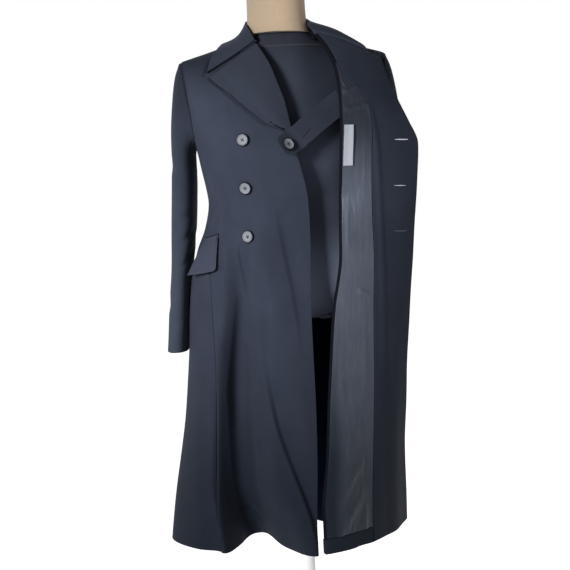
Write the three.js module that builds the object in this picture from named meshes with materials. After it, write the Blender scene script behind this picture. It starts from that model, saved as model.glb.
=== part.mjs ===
// Double-breasted coat standing on a limbless dress form.
// Millimetres, +Z up. The origin is on the floor under the stand's centre.
// The coat's front faces -Y and the wearer's right side lies at -X.
// Cloth is built as thin closed walls: each panel is a grid of points on the
// coat's outer surface, backed by the same points moved in by the cloth's thickness.

import * as THREE from 'three';
import { mergeVertices } from 'three/addons/utils/BufferGeometryUtils.js';

// ---------------------------------------------------------------- driving dimensions
const WOOL = 2.2;              // coat cloth
const FACING = 1.5;            // facing and collar cloth laid on the wool
const SATIN = 1.0;             // lining cloth
const LABEL_THICK = 0.8;
const SEAM_GAP = 0.3;          // room between two pieces that meet at a seam
const LAY_GAP = 0.3;           // room between a piece and the panel it lies on

const HEM_HEIGHT = 301;        // front hem above the floor
const BACK_HEM_DROP = 20;      // the back hangs this much lower
const CHEST_LEVEL = 1100;      // below it sections are level, above it panels rise to their top edges
const ARMPIT_LEVEL = 1124;
const RIDGE_ROUND = 150;       // height over which the shoulder rounds down into the chest

const BUTTON_DIAMETER = 27;
const BUTTON_THICKNESS = 4.5;
const BUTTON_SIDES = 20;
const BUTTON_X = -86;
// seat: how far each button is set in from the rounded surface, onto the panel's flats.
const BUTTONS = [
  { z: 1132, seat: 1.0 },
  { z: 1038, seat: 0 },
  { z: 941, seat: 0 },
];

const BASE_DIAMETER = 380;
const BASE_THICKNESS = 12;
const POLE_DIAMETER = 32;
const NECK_TOP = 1442;
const NECK_CAP = 10;

// ---------------------------------------------------------------- tables
// Body sections of the wearer's right half, by height. width: half width; front and back:
// depth at the centre, before and behind the side; side: Y of the widest point;
// round: 1 is an ellipse, less is boxier and more is nearer to a diamond.
const RIGHT_SECTIONS = [
  { z: 281, width: 290, front: 186, back: 150, side: 0, round: 1.22 },
  { z: 395, width: 274, front: 182, back: 144, side: 0, round: 1.15 },
  { z: 488, width: 257, front: 178, back: 138, side: 0, round: 1.1 },
  { z: 600, width: 239, front: 172, back: 133, side: 0, round: 1.05 },
  { z: 700, width: 227.5, front: 165, back: 128, side: 0, round: 1.0 },
  { z: 780, width: 220.8, front: 159, back: 124, side: 0, round: 0.95 },
  { z: 860, width: 211.5, front: 151, back: 119, side: 2, round: 0.9 },
  { z: 914, width: 197, front: 145, back: 112, side: 4, round: 0.86 },
  { z: 957, width: 179, front: 139, back: 100, side: 5, round: 0.84 },
  { z: 1010, width: 168.6, front: 133, back: 90, side: 5, round: 0.82 },
  { z: 1039, width: 171.6, front: 138, back: 93, side: 5, round: 0.8 },
  { z: 1074, width: 177.5, front: 145, back: 100, side: 5, round: 0.8 },
  { z: 1124, width: 187, front: 149, back: 109, side: 5, round: 0.8 },
  { z: 1150, width: 196, front: 147, back: 113, side: 5, round: 0.8 },
  { z: 1195, width: 204, front: 140, back: 118, side: 5, round: 0.8 },
  { z: 1250, width: 211, front: 130, back: 118, side: 5, round: 0.8 },
  { z: 1304, width: 215, front: 120, back: 114, side: 5, round: 0.8 },
  { z: 1400, width: 216, front: 112, back: 110, side: 5, round: 0.8 },
];

// The left half matches the right one down to the hip. Below it the skirt's side is drawn
// in and back behind the turned-back front.
const LEFT_SECTIONS = RIGHT_SECTIONS.filter((row) => row.z >= 914).concat([
  { z: 860, width: 203, front: 150, back: 119, side: 8, round: 0.95 },
  { z: 780, width: 206, front: 152, back: 124, side: 16, round: 1.0 },
  { z: 700, width: 206, front: 158, back: 128, side: 26, round: 1.05 },
  { z: 600, width: 205, front: 168, back: 133, side: 38, round: 1.12 },
  { z: 488, width: 205, front: 178, back: 138, side: 50, round: 1.2 },
  { z: 395, width: 206, front: 182, back: 144, side: 58, round: 1.24 },
  { z: 281, width: 207, front: 170, back: 150, side: 64, round: 1.24 },
]).sort((a, b) => a.z - b.z);

// Shoulder ridge: its height at a distance from the centre.
const RIDGE = [
  { x: 0, z: 1373 },
  { x: 40, z: 1367 },
  { x: 66, z: 1352 },
  { x: 85, z: 1341 },
  { x: 115, z: 1331 },
  { x: 150, z: 1320 },
  { x: 190, z: 1309 },
  { x: 215, z: 1302 },
];

// The right front's edge below the lapel.
const RIGHT_EDGE = [
  { z: 281, x: 22 },
  { z: 377, x: 23 },
  { z: 492, x: 28 },
  { z: 610, x: 31 },
  { z: 742, x: 31 },
  { z: 831, x: 32.5 },
  { z: 954, x: 37.5 },
  { z: 1024, x: 35 },
  { z: 1071, x: 25.5 },
  { z: 1097, x: 19 },
  { z: 1149, x: 10 },
];

// The line where the left front turns back on itself.
const LEFT_FOLD = [
  { z: 281, x: 39 },
  { z: 402, x: 39 },
  { z: 490, x: 51 },
  { z: 576, x: 58 },
  { z: 681, x: 68 },
  { z: 795, x: 81 },
  { z: 878, x: 97 },
  { z: 948, x: 101 },
  { z: 1036, x: 106 },
  { z: 1112, x: 110 },
  { z: 1160, x: 113 },
  { z: 1215, x: 113 },
  { z: 1275, x: 105 },
  { z: 1313, x: 90 },
  { z: 1345, x: 70 },
];

// The side panel's two seams, as reach on the front and on the back.
const SIDE_SEAMS = [
  { z: 281, front: 0.62, back: 0.66 },
  { z: 700, front: 0.74, back: 0.76 },
  { z: 860, front: 0.8, back: 0.82 },
  { z: 1010, front: 0.86, back: 0.86 },
  { z: 1100, front: 0.94, back: 0.93 },
];

// Top edges of a half body, as reach (x over the section's half width) and height.
// along: 0 at the front edge, 0.5 at the side, 1 at the centre back.
const RIGHT_TOP = [
  { along: 0.0, reach: 0.05, z: 1149 },
  { along: 0.04, reach: -0.015, z: 1206 },
  { along: 0.09, reach: -0.118, z: 1272 },
  { along: 0.13, reach: -0.25, z: 1328 },
  { along: 0.16, reach: -0.395, z: 1341 },
];
const LEFT_TOP = [
  { along: 0.0, reach: -0.325, z: 1345 },
  { along: 0.16, reach: -0.5, z: 1334 },
];
const SHOULDER_TOP = [
  { along: 0.22, reach: -0.66, z: 1326 },
  { along: 0.28, reach: -0.82, z: 1314 },
  { along: 0.32, reach: -0.963, z: 1304 },
  { along: 0.36, reach: -0.945, z: 1250 },
  { along: 0.4, reach: -0.938, z: 1195 },
  { along: 0.44, reach: -0.955, z: 1150 },
  { along: 0.47, reach: -0.985, z: 1130 },
  { along: 0.5, reach: -1, z: ARMPIT_LEVEL },
  { along: 0.53, reach: -0.985, z: 1130 },
  { along: 0.56, reach: -0.962, z: 1150 },
  { along: 0.6, reach: -0.95, z: 1195 },
  { along: 0.64, reach: -0.952, z: 1250 },
  { along: 0.68, reach: -0.963, z: 1304 },
  { along: 0.72, reach: -0.82, z: 1314 },
  { along: 0.78, reach: -0.6, z: 1328 },
  { along: 0.84, reach: -0.395, z: 1341 },
  { along: 0.9, reach: -0.26, z: 1343 },
  { along: 1.0, reach: 0, z: 1338 },
];
const SHOULDER_POINT = 0.32;   // along, on the front; the back mirrors it about the side
const SIDE_FROM = 0.44;        // the side panel's seams, along the half body
const SIDE_TO = 0.56;

// Folds that hang down the skirt. x and depth by height; left and right: half widths.
const FRONT_VALLEY = [
  { z: 281, x: -101, depth: 140, left: 62, right: 130 },
  { z: 374, x: -124, depth: 98, left: 58, right: 118 },
  { z: 437, x: -134, depth: 74, left: 54, right: 86 },
  { z: 552, x: -129, depth: 50, left: 50, right: 80 },
  { z: 705, x: -113, depth: 34, left: 46, right: 72 },
  { z: 817, x: -98, depth: 22, left: 42, right: 64 },
  { z: 925, x: -108, depth: 8, left: 36, right: 50 },
  { z: 980, x: -108, depth: 0, left: 34, right: 46 },
];
// Flutes of the back, each from the hem up to its top.
const BACK_FLUTES = [
  { x: 66, width: 66, depth: 34, top: 840 },
  { x: 192, width: 60, depth: 30, top: 760 },
];

// The turned-back left front, by the height of its fold: the middle and the free edge,
// and how much lower each lies than the fold.
const TURN_BACK = [
  { z: 281, midX: 142, midY: -96, midDrop: 0, edgeX: 219, edgeY: 44, edgeDrop: 0 },
  { z: 402, midX: 145, midY: -103, midDrop: 0, edgeX: 217, edgeY: 12, edgeDrop: 0 },
  { z: 490, midX: 150, midY: -106, midDrop: 0, edgeX: 216, edgeY: -10, edgeDrop: 0 },
  { z: 576, midX: 154, midY: -110, midDrop: 0, edgeX: 220, edgeY: -30, edgeDrop: 0 },
  { z: 681, midX: 160, midY: -116, midDrop: 0, edgeX: 225, edgeY: -52, edgeDrop: 0 },
  { z: 795, midX: 168, midY: -122, midDrop: 0, edgeX: 235, edgeY: -68, edgeDrop: 0 },
  { z: 878, midX: 176, midY: -124, midDrop: 0, edgeX: 242, edgeY: -78, edgeDrop: 0 },
  { z: 948, midX: 180, midY: -122, midDrop: 0, edgeX: 248, edgeY: -85, edgeDrop: 0 },
  { z: 1036, midX: 186, midY: -121, midDrop: 0, edgeX: 256, edgeY: -90, edgeDrop: 0 },
  { z: 1112, midX: 189, midY: -121, midDrop: 0, edgeX: 262, edgeY: -88, edgeDrop: 0 },
  { z: 1160, midX: 184, midY: -118, midDrop: 3, edgeX: 245, edgeY: -86, edgeDrop: 5 },
  { z: 1215, midX: 172, midY: -112, midDrop: 6, edgeX: 222, edgeY: -78, edgeDrop: 9 },
  { z: 1275, midX: 156, midY: -92, midDrop: 12, edgeX: 204, edgeY: -66, edgeDrop: 20 },
  { z: 1313, midX: 148, midY: -66, midDrop: 14, edgeX: 201, edgeY: -50, edgeDrop: 38 },
  { z: 1345, midX: 136, midY: -40, midDrop: 26, edgeX: 197, edgeY: -36, edgeDrop: 58 },
];
// Where the lining meets the facing on it, as a share of its width.
const FACING_SEAM = [
  { z: 281, share: 0.45 },
  { z: 622, share: 0.46 },
  { z: 802, share: 0.42 },
  { z: 975, share: 0.37 },
  { z: 1077, share: 0.35 },
  { z: 1179, share: 0.37 },
  { z: 1345, share: 0.42 },
];
const LINING_EDGE = 335;       // the lining stops above the turned-up hem
const FOLD_TURN = 4;           // half the room inside the fold of the left front
const FOLD_REACH = 0.16;       // columns of the worn layer that follow the fold, along

// Lapel outline on the right front, from its foot up to the gorge.
const LAPEL = [
  { up: 0.0, rollX: 9, rollZ: 1151, outerX: 0, outerZ: 1143 },
  { up: 0.14, rollX: 5, rollZ: 1168, outerX: -33, outerZ: 1158 },
  { up: 0.34, rollX: -3, rollZ: 1206, outerX: -65, outerZ: 1184 },
  { up: 0.56, rollX: -15, rollZ: 1242, outerX: -106, outerZ: 1222 },
  { up: 0.76, rollX: -27, rollZ: 1277, outerX: -130, outerZ: 1244 },
  { up: 1.0, rollX: -48, rollZ: 1325, outerX: -148, outerZ: 1263 },
];
const LAPEL_CLEAR = 2.6;       // behind the lapel, over the front
const LAPEL_FOOT = 0.35;       // the same at its foot, where it joins the front
const LAPEL_SPRING = 5;        // how far its middle stands off
const LAPEL_THICK = 3.2;       // front cloth and facing

// The collar, from its right front end round the back to the left: the fold at its top,
// the outer edge of the fall, and the neck seam that its stand rises from.
const COLLAR = [
  { fold: [-54, -70, 1334], edge: [-152, -80, 1274], neck: [-56, -66, 1331], sag: 2 },
  { fold: [-61, -54, 1350], edge: [-144, -64, 1301], neck: [-62, -50, 1345], sag: 4 },
  { fold: [-68, -32, 1365], edge: [-133, -46, 1319], neck: [-74, -28, 1348], sag: 7 },
  { fold: [-72, -8, 1375], edge: [-120, -12, 1336], neck: [-82, -4, 1346], sag: 8 },
  { fold: [-72, 18, 1382], edge: [-108, 18, 1340], neck: [-80, 22, 1346], sag: 6 },
  { fold: [-67, 44, 1386], edge: [-90, 64, 1326], neck: [-66, 52, 1345], sag: 2 },
  { fold: [-44, 66, 1389], edge: [-54, 96, 1306], neck: [-38, 70, 1343], sag: 0 },
  { fold: [-7, 74, 1390], edge: [-4, 106, 1299], neck: [-4, 78, 1342], sag: 0 },
  { fold: [30, 66, 1389], edge: [48, 96, 1306], neck: [30, 70, 1343], sag: 0 },
  { fold: [53, 44, 1386], edge: [90, 64, 1327], neck: [60, 52, 1345], sag: 0 },
  { fold: [58, 18, 1381], edge: [114, 20, 1342], neck: [77, 22, 1347], sag: 0 },
  { fold: [58, -8, 1374], edge: [138, -10, 1338], neck: [80, -4, 1347], sag: 0 },
  { fold: [60, -32, 1364], edge: [156, -34, 1325], neck: [72, -28, 1352], sag: 0 },
  { fold: [64, -54, 1350], edge: [173, -54, 1309], neck: [60, -44, 1350], sag: 0 },
];
const COLLAR_THICK = 3;

// Hip pocket flap on a half body, from its front end to the side.
const FLAP = [
  { across: 0, topX: -146, bottomX: -150, topZ: 946, bottomZ: 876, topOut: -0.6, bottomOut: 4 },
  { across: 0.5, topX: -160, bottomX: -178, topZ: 942, bottomZ: 870, topOut: -0.6, bottomOut: 10 },
  { across: 1, topX: -172, bottomX: -200, topZ: 938, bottomZ: 866, topOut: -0.6, bottomOut: 22 },
];
const FLAP_THICK = 3;

// Middle line of the inner tab, from its rounded end to where it passes behind the left front.
const TAB = [
  { along: 0.0, x: -11, y: -178, z: 1111, half: 9 },
  { along: 0.06, x: -6, y: -173.7, z: 1114, half: 17 },
  { along: 0.14, x: 1, y: -168.2, z: 1117, half: 21 },
  { along: 0.2, x: 8.5, y: -161.8, z: 1121.5, half: 21 },
  { along: 0.27, x: 15, y: -156, z: 1126, half: 21 },
  { along: 0.4, x: 30, y: -151.5, z: 1138, half: 21 },
  { along: 0.66, x: 62, y: -140, z: 1163, half: 21 },
  { along: 0.86, x: 92, y: -125, z: 1185, half: 21 },
  { along: 1.0, x: 116, y: -115.5, z: 1203, half: 21 },
];
const TAB_RISE = 0.74;
const TAB_THICK = 3;
const BUTTON_STAND = 0.3;      // a button's back stands this far off its cloth

// Arm sections. outer, inner: X of its two sides; front, back: Y.
const RIGHT_ARM = [
  { z: 704, outer: -273, inner: -229, front: -46, back: 72 },
  { z: 780, outer: -266, inner: -222, front: -45, back: 77 },
  { z: 860, outer: -258, inner: -213, front: -43, back: 82 },
  { z: 950, outer: -251, inner: -199, front: -46, back: 85 },
  { z: 1030, outer: -245, inner: -192, front: -52, back: 86 },
  { z: 1108, outer: -239, inner: -190.5, front: -60, back: 82 },
];
const LEFT_ARM = [
  { z: 704, outer: 234, inner: 190, front: 44, back: 160 },
  { z: 780, outer: 235, inner: 194, front: 32, back: 152 },
  { z: 860, outer: 238, inner: 199, front: 10, back: 134 },
  { z: 950, outer: 240, inner: 197, front: -18, back: 112 },
  { z: 1030, outer: 242, inner: 192, front: -44, back: 94 },
  { z: 1108, outer: 242, inner: 190.5, front: -60, back: 82 },
];
const ARM_TOP = 1108;
const ARM_BULGE = 19;          // how far the sleeve head swells past the armhole
const ARM_SQUARE = 0.85;       // under 1 flattens the arm's sides

// The dress form: half width, depth before and behind its centre line, by height.
const FORM_SECTIONS = [
  { z: 762, width: 70, front: 52, back: 52, centre: 5 },
  { z: 772, width: 104, front: 76, back: 74, centre: 5 },
  { z: 800, width: 140, front: 96, back: 92, centre: 5 },
  { z: 850, width: 158, front: 104, back: 98, centre: 5 },
  { z: 910, width: 158, front: 104, back: 92, centre: 5 },
  { z: 970, width: 146, front: 98, back: 78, centre: 5 },
  { z: 1020, width: 140, front: 98, back: 74, centre: 5 },
  { z: 1080, width: 152, front: 114, back: 84, centre: 5 },
  { z: 1140, width: 166, front: 122, back: 94, centre: 5 },
  { z: 1200, width: 182, front: 116, back: 98, centre: 5 },
  { z: 1250, width: 194, front: 108, back: 98, centre: 5 },
  { z: 1400, width: 196, front: 96, back: 92, centre: 5 },
];
const FORM_BOTTOM = 757;
const FORM_TOP = 1349;
const FORM_UNDER = WOOL + 0.9; // the form's shoulders lie this far under the coat's
const NECK_EASE = 3;
const NECK_X = -7;
const NECK_Y = 5;
const NECK_RADIUS = 60;

// ---------------------------------------------------------------- reading the tables
function lookup(table, key, value, column) {
  const last = table.length - 1;
  if (value <= table[0][key]) return table[0][column];
  if (value >= table[last][key]) return table[last][column];
  let i = 0;
  while (value > table[i + 1][key]) i += 1;
  const x0 = table[i][key];
  const x1 = table[i + 1][key];
  const y0 = table[i][column];
  const y1 = table[i + 1][column];
  const slope = (a, b) => (table[b][column] - table[a][column]) / (table[b][key] - table[a][key]);
  const rise = slope(i, i + 1);
  // Slopes limited so that the curve never overshoots its rows.
  const limit = (s) => (s * rise <= 0 ? 0 : Math.sign(s) * Math.min(Math.abs(s), 3 * Math.abs(rise)));
  const m0 = i > 0 ? limit((slope(i - 1, i) + rise) / 2) : rise;
  const m1 = i + 1 < last ? limit((rise + slope(i + 1, i + 2)) / 2) : rise;
  const h = x1 - x0;
  const t = (value - x0) / h;
  const t2 = t * t;
  const t3 = t2 * t;
  return (2 * t3 - 3 * t2 + 1) * y0 + (t3 - 2 * t2 + t) * h * m0
    + (3 * t2 - 2 * t3) * y1 + (t3 - t2) * h * m1;
}

const mix = (a, b, t) => a + (b - a) * t;
const clamp01 = (t) => Math.min(1, Math.max(0, t));
const smooth = (t) => clamp01(t) ** 2 * (3 - 2 * clamp01(t));
const ridgeHeight = (x) => lookup(RIDGE, 'x', Math.abs(x), 'z');

// How far the cloth has come forward from the shoulder ridge, 0 on it and 1 at the chest.
function ridgeRound(x, z) {
  const t = clamp01((ridgeHeight(x) - z) / RIDGE_ROUND);
  return Math.sqrt(1 - (1 - t) ** 2);
}

// A fold's depth across its width: 1 on its line and 0 at its sides.
function foldShape(offset, left, right) {
  const t = offset < 0 ? -offset / left : offset / right;
  return t >= 1 ? 0 : 0.5 + 0.5 * Math.cos(Math.PI * t);
}

// ---------------------------------------------------------------- the body's outer surface
// side is -1 for the wearer's right and +1 for the left. reach runs from 0 at the centre
// to -1 at the widest point, on the front or the back.
function sectionPoint(side, reach, atBack, z) {
  const table = side < 0 ? RIGHT_SECTIONS : LEFT_SECTIONS;
  const width = lookup(table, 'z', z, 'width');
  const round = lookup(table, 'z', z, 'round');
  const centre = lookup(table, 'z', z, 'side');
  const depth = lookup(table, 'z', z, atBack ? 'back' : 'front');
  const sine = Math.min(1, Math.abs(reach)) ** (1 / round);
  const cosine = Math.sqrt(Math.max(0, 1 - sine * sine)) ** round;
  const x = -reach * width * side;
  const swell = atBack ? depth - centre : depth + centre;
  const y = centre * ridgeRound(x, z) + (atBack ? 1 : -1) * swell * cosine * ridgeRound(x, z);
  return new THREE.Vector3(x, y + foldOffset(side, x, atBack, z), z);
}

function foldOffset(side, x, atBack, z) {
  if (atBack) {
    return BACK_FLUTES.reduce((sum, flute) => {
      const fall = clamp01((flute.top - z) / (flute.top - HEM_HEIGHT));
      return sum - flute.depth * fall ** 1.4 * foldShape(Math.abs(x) - flute.x, flute.width, flute.width);
    }, 0);
  }
  if (side > 0) return 0;
  const column = (name) => lookup(FRONT_VALLEY, 'z', z, name);
  return column('depth') * foldShape(x - column('x'), column('left'), column('right'));
}

const frontEdgeX = (side, z) => (side < 0 ? lookup(RIGHT_EDGE, 'z', z, 'x') : lookup(LEFT_FOLD, 'z', z, 'x'));
const halfTop = (side) => (side < 0 ? RIGHT_TOP : LEFT_TOP).concat(SHOULDER_TOP);

// Reach of a column at a height up to the chest.
function levelReach(side, along, z) {
  const table = side < 0 ? RIGHT_SECTIONS : LEFT_SECTIONS;
  const seam = -Math.asin(lookup(SIDE_SEAMS, 'z', z, along > 0.5 ? 'back' : 'front'));
  const flank = -Math.PI / 2;
  if (along >= SIDE_TO) return Math.sin(mix(seam, 0, (along - SIDE_TO) / (1 - SIDE_TO)));
  if (along > 0.5) return Math.sin(mix(flank, seam, (along - 0.5) / (SIDE_TO - 0.5)));
  if (along > SIDE_FROM) return Math.sin(mix(seam, flank, (along - SIDE_FROM) / (0.5 - SIDE_FROM)));
  const edge = -Math.asin(side * frontEdgeX(side, z) / lookup(table, 'z', z, 'width'));
  return Math.sin(mix(edge, seam, along / SIDE_FROM));
}

// along: 0 at the front edge, 0.5 at the side, 1 at the centre back.
// up: 0 at the hem, 1 at the chest level, 2 at the top edge.
function bodyPoint(side, along, up) {
  const atBack = along > 0.5;
  if (up <= 1) {
    const z = mix(hemHeight(side, along), CHEST_LEVEL, up);
    return sectionPoint(side, levelReach(side, along, z), atBack, z);
  }
  const top = halfTop(side);
  const topReach = lookup(top, 'along', along, 'reach');
  const topZ = lookup(top, 'along', along, 'z');
  const rise = (up - 1) * (3 - up);
  const z = mix(CHEST_LEVEL, Math.min(topZ, topLimit(topReach, topZ)), rise);
  let reach = mix(levelReach(side, along, CHEST_LEVEL), topReach, rise);
  if (side > 0 && along < FOLD_REACH) {
    // The columns beside the fold follow its line.
    const straight = mix(levelReach(side, 0, CHEST_LEVEL), top[0].reach, rise);
    const fold = -frontEdgeX(side, z) / lookup(LEFT_SECTIONS, 'z', z, 'width');
    reach += (fold - straight) * (1 - along / FOLD_REACH);
  }
  const ridge = ridgeHeight(reach * lookup(RIGHT_SECTIONS, 'z', z, 'width'));
  return sectionPoint(side, reach, atBack, Math.min(z, ridge));
}

// The shoulder seam runs on the ridge, so no top edge stands above it.
function topLimit(reach, z) {
  return ridgeHeight(reach * lookup(RIGHT_SECTIONS, 'z', z, 'width'));
}

function hemHeight(side, along) {
  const drop = BACK_HEM_DROP * smooth((along - 0.45) / 0.4);
  const valley = side < 0 ? 13 * foldShape(along - 0.2, 0.1, 0.1) : 0;
  return HEM_HEIGHT - drop + valley;
}

// ---------------------------------------------------------------- walls
// Normal of a surface u, v -> point, by small steps along both ways.
function normalOf(surface, u, v, span) {
  const step = 1e-3;
  const u0 = Math.max(span.u[0], u - step);
  const u1 = Math.min(span.u[1], u + step);
  const v0 = Math.max(span.v[0], v - step);
  const v1 = Math.min(span.v[1], v + step);
  const along = surface(u1, v).sub(surface(u0, v));
  const across = surface(u, v1).sub(surface(u, v0));
  return along.cross(across).normalize();
}

const spread = (from, to, count, bend = 1) => Array.from({ length: count + 1 }, (_, i) => {
  const t = i / count;
  return mix(from, to, bend === 1 ? t : 1 - (1 - t) ** bend);
});

// Moves a grid's outermost columns or rows in, so that two pieces part at a seam.
function trimEdge(grid, edge, amount) {
  const rows = grid.length;
  const columns = grid[0].length;
  const pull = (point, towards) => {
    const way = towards.clone().sub(point);
    point.add(way.setLength(amount));
  };
  if (edge === 'start') grid.forEach((row) => pull(row[0], row[1]));
  if (edge === 'end') grid.forEach((row) => pull(row[columns - 1], row[columns - 2]));
  if (edge === 'bottom') grid[0].forEach((point, j) => pull(point, grid[1][j]));
  if (edge === 'top') grid[rows - 1].forEach((point, j) => pull(point, grid[rows - 2][j]));
}

// A closed wall between two grids of rows, open where the grids end.
function wallBetween(face, backing, ring = false) {
  const rows = face.length;
  const columns = face[0].length;
  const positions = [];
  const index = [];
  face.concat(backing).forEach((row) => row.forEach((p) => positions.push(p.x, p.y, p.z)));
  const at = (layer, i, j) => (layer * rows + i) * columns + (ring ? j % columns : j);
  const quad = (a, b, c, d) => index.push(a, b, c, a, c, d);
  const lastColumn = ring ? columns : columns - 1;
  for (let i = 0; i < rows - 1; i += 1) {
    for (let j = 0; j < lastColumn; j += 1) {
      quad(at(0, i, j), at(0, i, j + 1), at(0, i + 1, j + 1), at(0, i + 1, j));
      quad(at(1, i, j), at(1, i + 1, j), at(1, i + 1, j + 1), at(1, i, j + 1));
    }
  }
  for (let j = 0; j < lastColumn; j += 1) {
    quad(at(0, 0, j), at(1, 0, j), at(1, 0, j + 1), at(0, 0, j + 1));
    quad(at(0, rows - 1, j), at(0, rows - 1, j + 1), at(1, rows - 1, j + 1), at(1, rows - 1, j));
  }
  if (!ring) {
    const end = columns - 1;
    for (let i = 0; i < rows - 1; i += 1) {
      quad(at(0, i, 0), at(0, i + 1, 0), at(1, i + 1, 0), at(1, i, 0));
      quad(at(0, i, end), at(1, i, end), at(1, i + 1, end), at(0, i + 1, end));
    }
  }
  return closedGeometry(positions, index);
}

// Merges shared points and turns the faces out.
function closedGeometry(positions, index) {
  let geometry = new THREE.BufferGeometry();
  geometry.setAttribute('position', new THREE.Float32BufferAttribute(positions, 3));
  geometry.setIndex(index);
  geometry = mergeVertices(geometry, 1e-4);
  const p = geometry.getAttribute('position');
  const order = geometry.getIndex().array;
  const a = new THREE.Vector3();
  const b = new THREE.Vector3();
  const c = new THREE.Vector3();
  const kept = [];
  let volume = 0;
  for (let i = 0; i < order.length; i += 3) {
    const [i0, i1, i2] = [order[i], order[i + 1], order[i + 2]];
    if (i0 !== i1 && i1 !== i2 && i2 !== i0) kept.push(i0, i1, i2);
    a.fromBufferAttribute(p, i0);
    b.fromBufferAttribute(p, i1);
    c.fromBufferAttribute(p, i2);
    volume += a.dot(b.cross(c)) / 6;
  }
  if (volume < 0) {
    for (let i = 0; i < kept.length; i += 3) [kept[i], kept[i + 1]] = [kept[i + 1], kept[i]];
  }
  geometry.setIndex(kept);
  geometry.computeVertexNormals();
  return geometry;
}

// A cloth wall on a surface: lift moves its outer face off the surface, thick is the cloth.
function clothWall(surface, us, vs, { lift = 0, thick = WOOL, outward = 1, trims = {}, bend, reach } = {}) {
  const span = reach ?? {
    u: [Math.min(us[0], us[us.length - 1]), Math.max(us[0], us[us.length - 1])],
    v: [Math.min(vs[0], vs[vs.length - 1]), Math.max(vs[0], vs[vs.length - 1])],
  };
  const face = [];
  const backing = [];
  vs.forEach((v) => {
    const outer = [];
    const inner = [];
    us.forEach((u) => {
      const point = surface(u, v);
      let normal = normalOf(surface, u, v, span).multiplyScalar(outward);
      if (bend) normal = bend(u, v, normal);
      outer.push(point.clone().addScaledVector(normal, lift));
      inner.push(point.clone().addScaledVector(normal, lift - thick));
    });
    face.push(outer);
    backing.push(inner);
  });
  Object.entries(trims).forEach(([edge, amount]) => {
    trimEdge(face, edge, amount);
    trimEdge(backing, edge, amount);
  });
  return wallBetween(face, backing);
}

// ---------------------------------------------------------------- the group
const coat = new THREE.Group();
const WOOL_COLOUR = 0x272c37;
const LINING_COLOUR = 0x545b68;

function material(colour, roughness, metalness = 0) {
  return new THREE.MeshStandardMaterial({ color: colour, roughness, metalness });
}

function add(name, geometry, look) {
  const mesh = new THREE.Mesh(geometry, look);
  mesh.name = name;
  coat.add(mesh);
  return mesh;
}

const wool = material(WOOL_COLOUR, 0.92);
const satin = material(LINING_COLOUR, 0.45);

// ---------------------------------------------------------------- body panels
const heightToUp = (z) => (z - HEM_HEIGHT) / (CHEST_LEVEL - HEM_HEIGHT);
const liningFoot = heightToUp(LINING_EDGE);
const HEM_ROWS = [0, liningFoot].concat(spread(0, 1, 11).slice(1));
const CHEST_ROWS = spread(1, 2, 8).slice(1);
const BODY_ROWS = HEM_ROWS.concat(CHEST_ROWS);
const HALF_GAP = SEAM_GAP / 2;

function bodyPanel(name, side, columns, trims) {
  const surface = (u, v) => bodyPoint(side, u, v);
  const outward = side < 0 ? -1 : 1;
  const reach = { u: [0, 1], v: [0, 2] };
  // The two backs share one plane at the centre.
  const bend = (u, v, normal) => (u === 1 ? normal.setX(0).normalize() : normal);
  add(name, clothWall(surface, columns, BODY_ROWS, { outward, trims, reach, bend }), wool);
}

const frontColumns = [0, 0.03, 0.06, 0.09, 0.115, 0.13, 0.145, 0.16].concat(
  spread(0.16, 0.32, 5).slice(1),
  [0.36, 0.4, SIDE_FROM],
);
const sideColumns = spread(SIDE_FROM, SIDE_TO, 8);
const backColumns = [SIDE_TO, 0.6, 0.64].concat(spread(0.68, 0.84, 5), spread(0.84, 1, 5).slice(1));
const bothSeams = { start: HALF_GAP, end: HALF_GAP, top: HALF_GAP };

bodyPanel('front_right', -1, frontColumns, { end: HALF_GAP, top: HALF_GAP });
bodyPanel('side_right', -1, sideColumns, bothSeams);
bodyPanel('back_right', -1, backColumns, bothSeams);
bodyPanel('back_left', 1, backColumns, bothSeams);
bodyPanel('side_left', 1, sideColumns, bothSeams);

// The left front: worn from the side seam to its fold, then turned back on itself.
// t: 0 at the fold, 1 at the free edge. foldZ: the fold's height.
function turnBackPoint(t, foldZ) {
  const read = (column) => lookup(TURN_BACK, 'z', foldZ, column);
  const foldUp = foldZ <= CHEST_LEVEL
    ? (foldZ - HEM_HEIGHT) / (CHEST_LEVEL - HEM_HEIGHT)
    : 2 - Math.sqrt(1 - clamp01((foldZ - CHEST_LEVEL) / (bodyPoint(1, 0, 2).z - CHEST_LEVEL)));
  const fold = bodyPoint(1, 0, foldUp).add(new THREE.Vector3(0, -2 * FOLD_TURN, 0));
  const mid = new THREE.Vector3(read('midX'), read('midY'), foldZ - read('midDrop'));
  const edge = new THREE.Vector3(read('edgeX'), read('edgeY'), foldZ - read('edgeDrop'));
  const control = mid.clone().multiplyScalar(2).sub(fold.clone().add(edge).multiplyScalar(0.5));
  return fold.multiplyScalar((1 - t) ** 2)
    .addScaledVector(control, 2 * t * (1 - t))
    .addScaledVector(edge, t * t);
}

// Share of the turned-back width at a column: the facing's seam always falls on column 0.4.
const SEAM_COLUMN = 0.4;
function turnShare(column, foldZ) {
  const seam = lookup(FACING_SEAM, 'z', foldZ, 'share');
  if (column < SEAM_COLUMN) return seam * (column / SEAM_COLUMN);
  return mix(seam, 1, (column - SEAM_COLUMN) / (1 - SEAM_COLUMN));
}

// across: 0 at the side seam, 1 at the fold, 2 where the turned-back cloth starts, 3 at its edge.
function frontLeftPoint(across, up) {
  if (across <= 1) return bodyPoint(1, SIDE_FROM * (1 - across), up);
  const worn = bodyPoint(1, 0, up);
  if (across >= 2) return turnBackPoint(turnShare(across - 2, worn.z), worn.z);
  const turn = (across - 1) * Math.PI;
  worn.x -= FOLD_TURN * Math.sin(turn);
  worn.y -= FOLD_TURN * (1 - Math.cos(turn));
  return worn;
}

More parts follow.
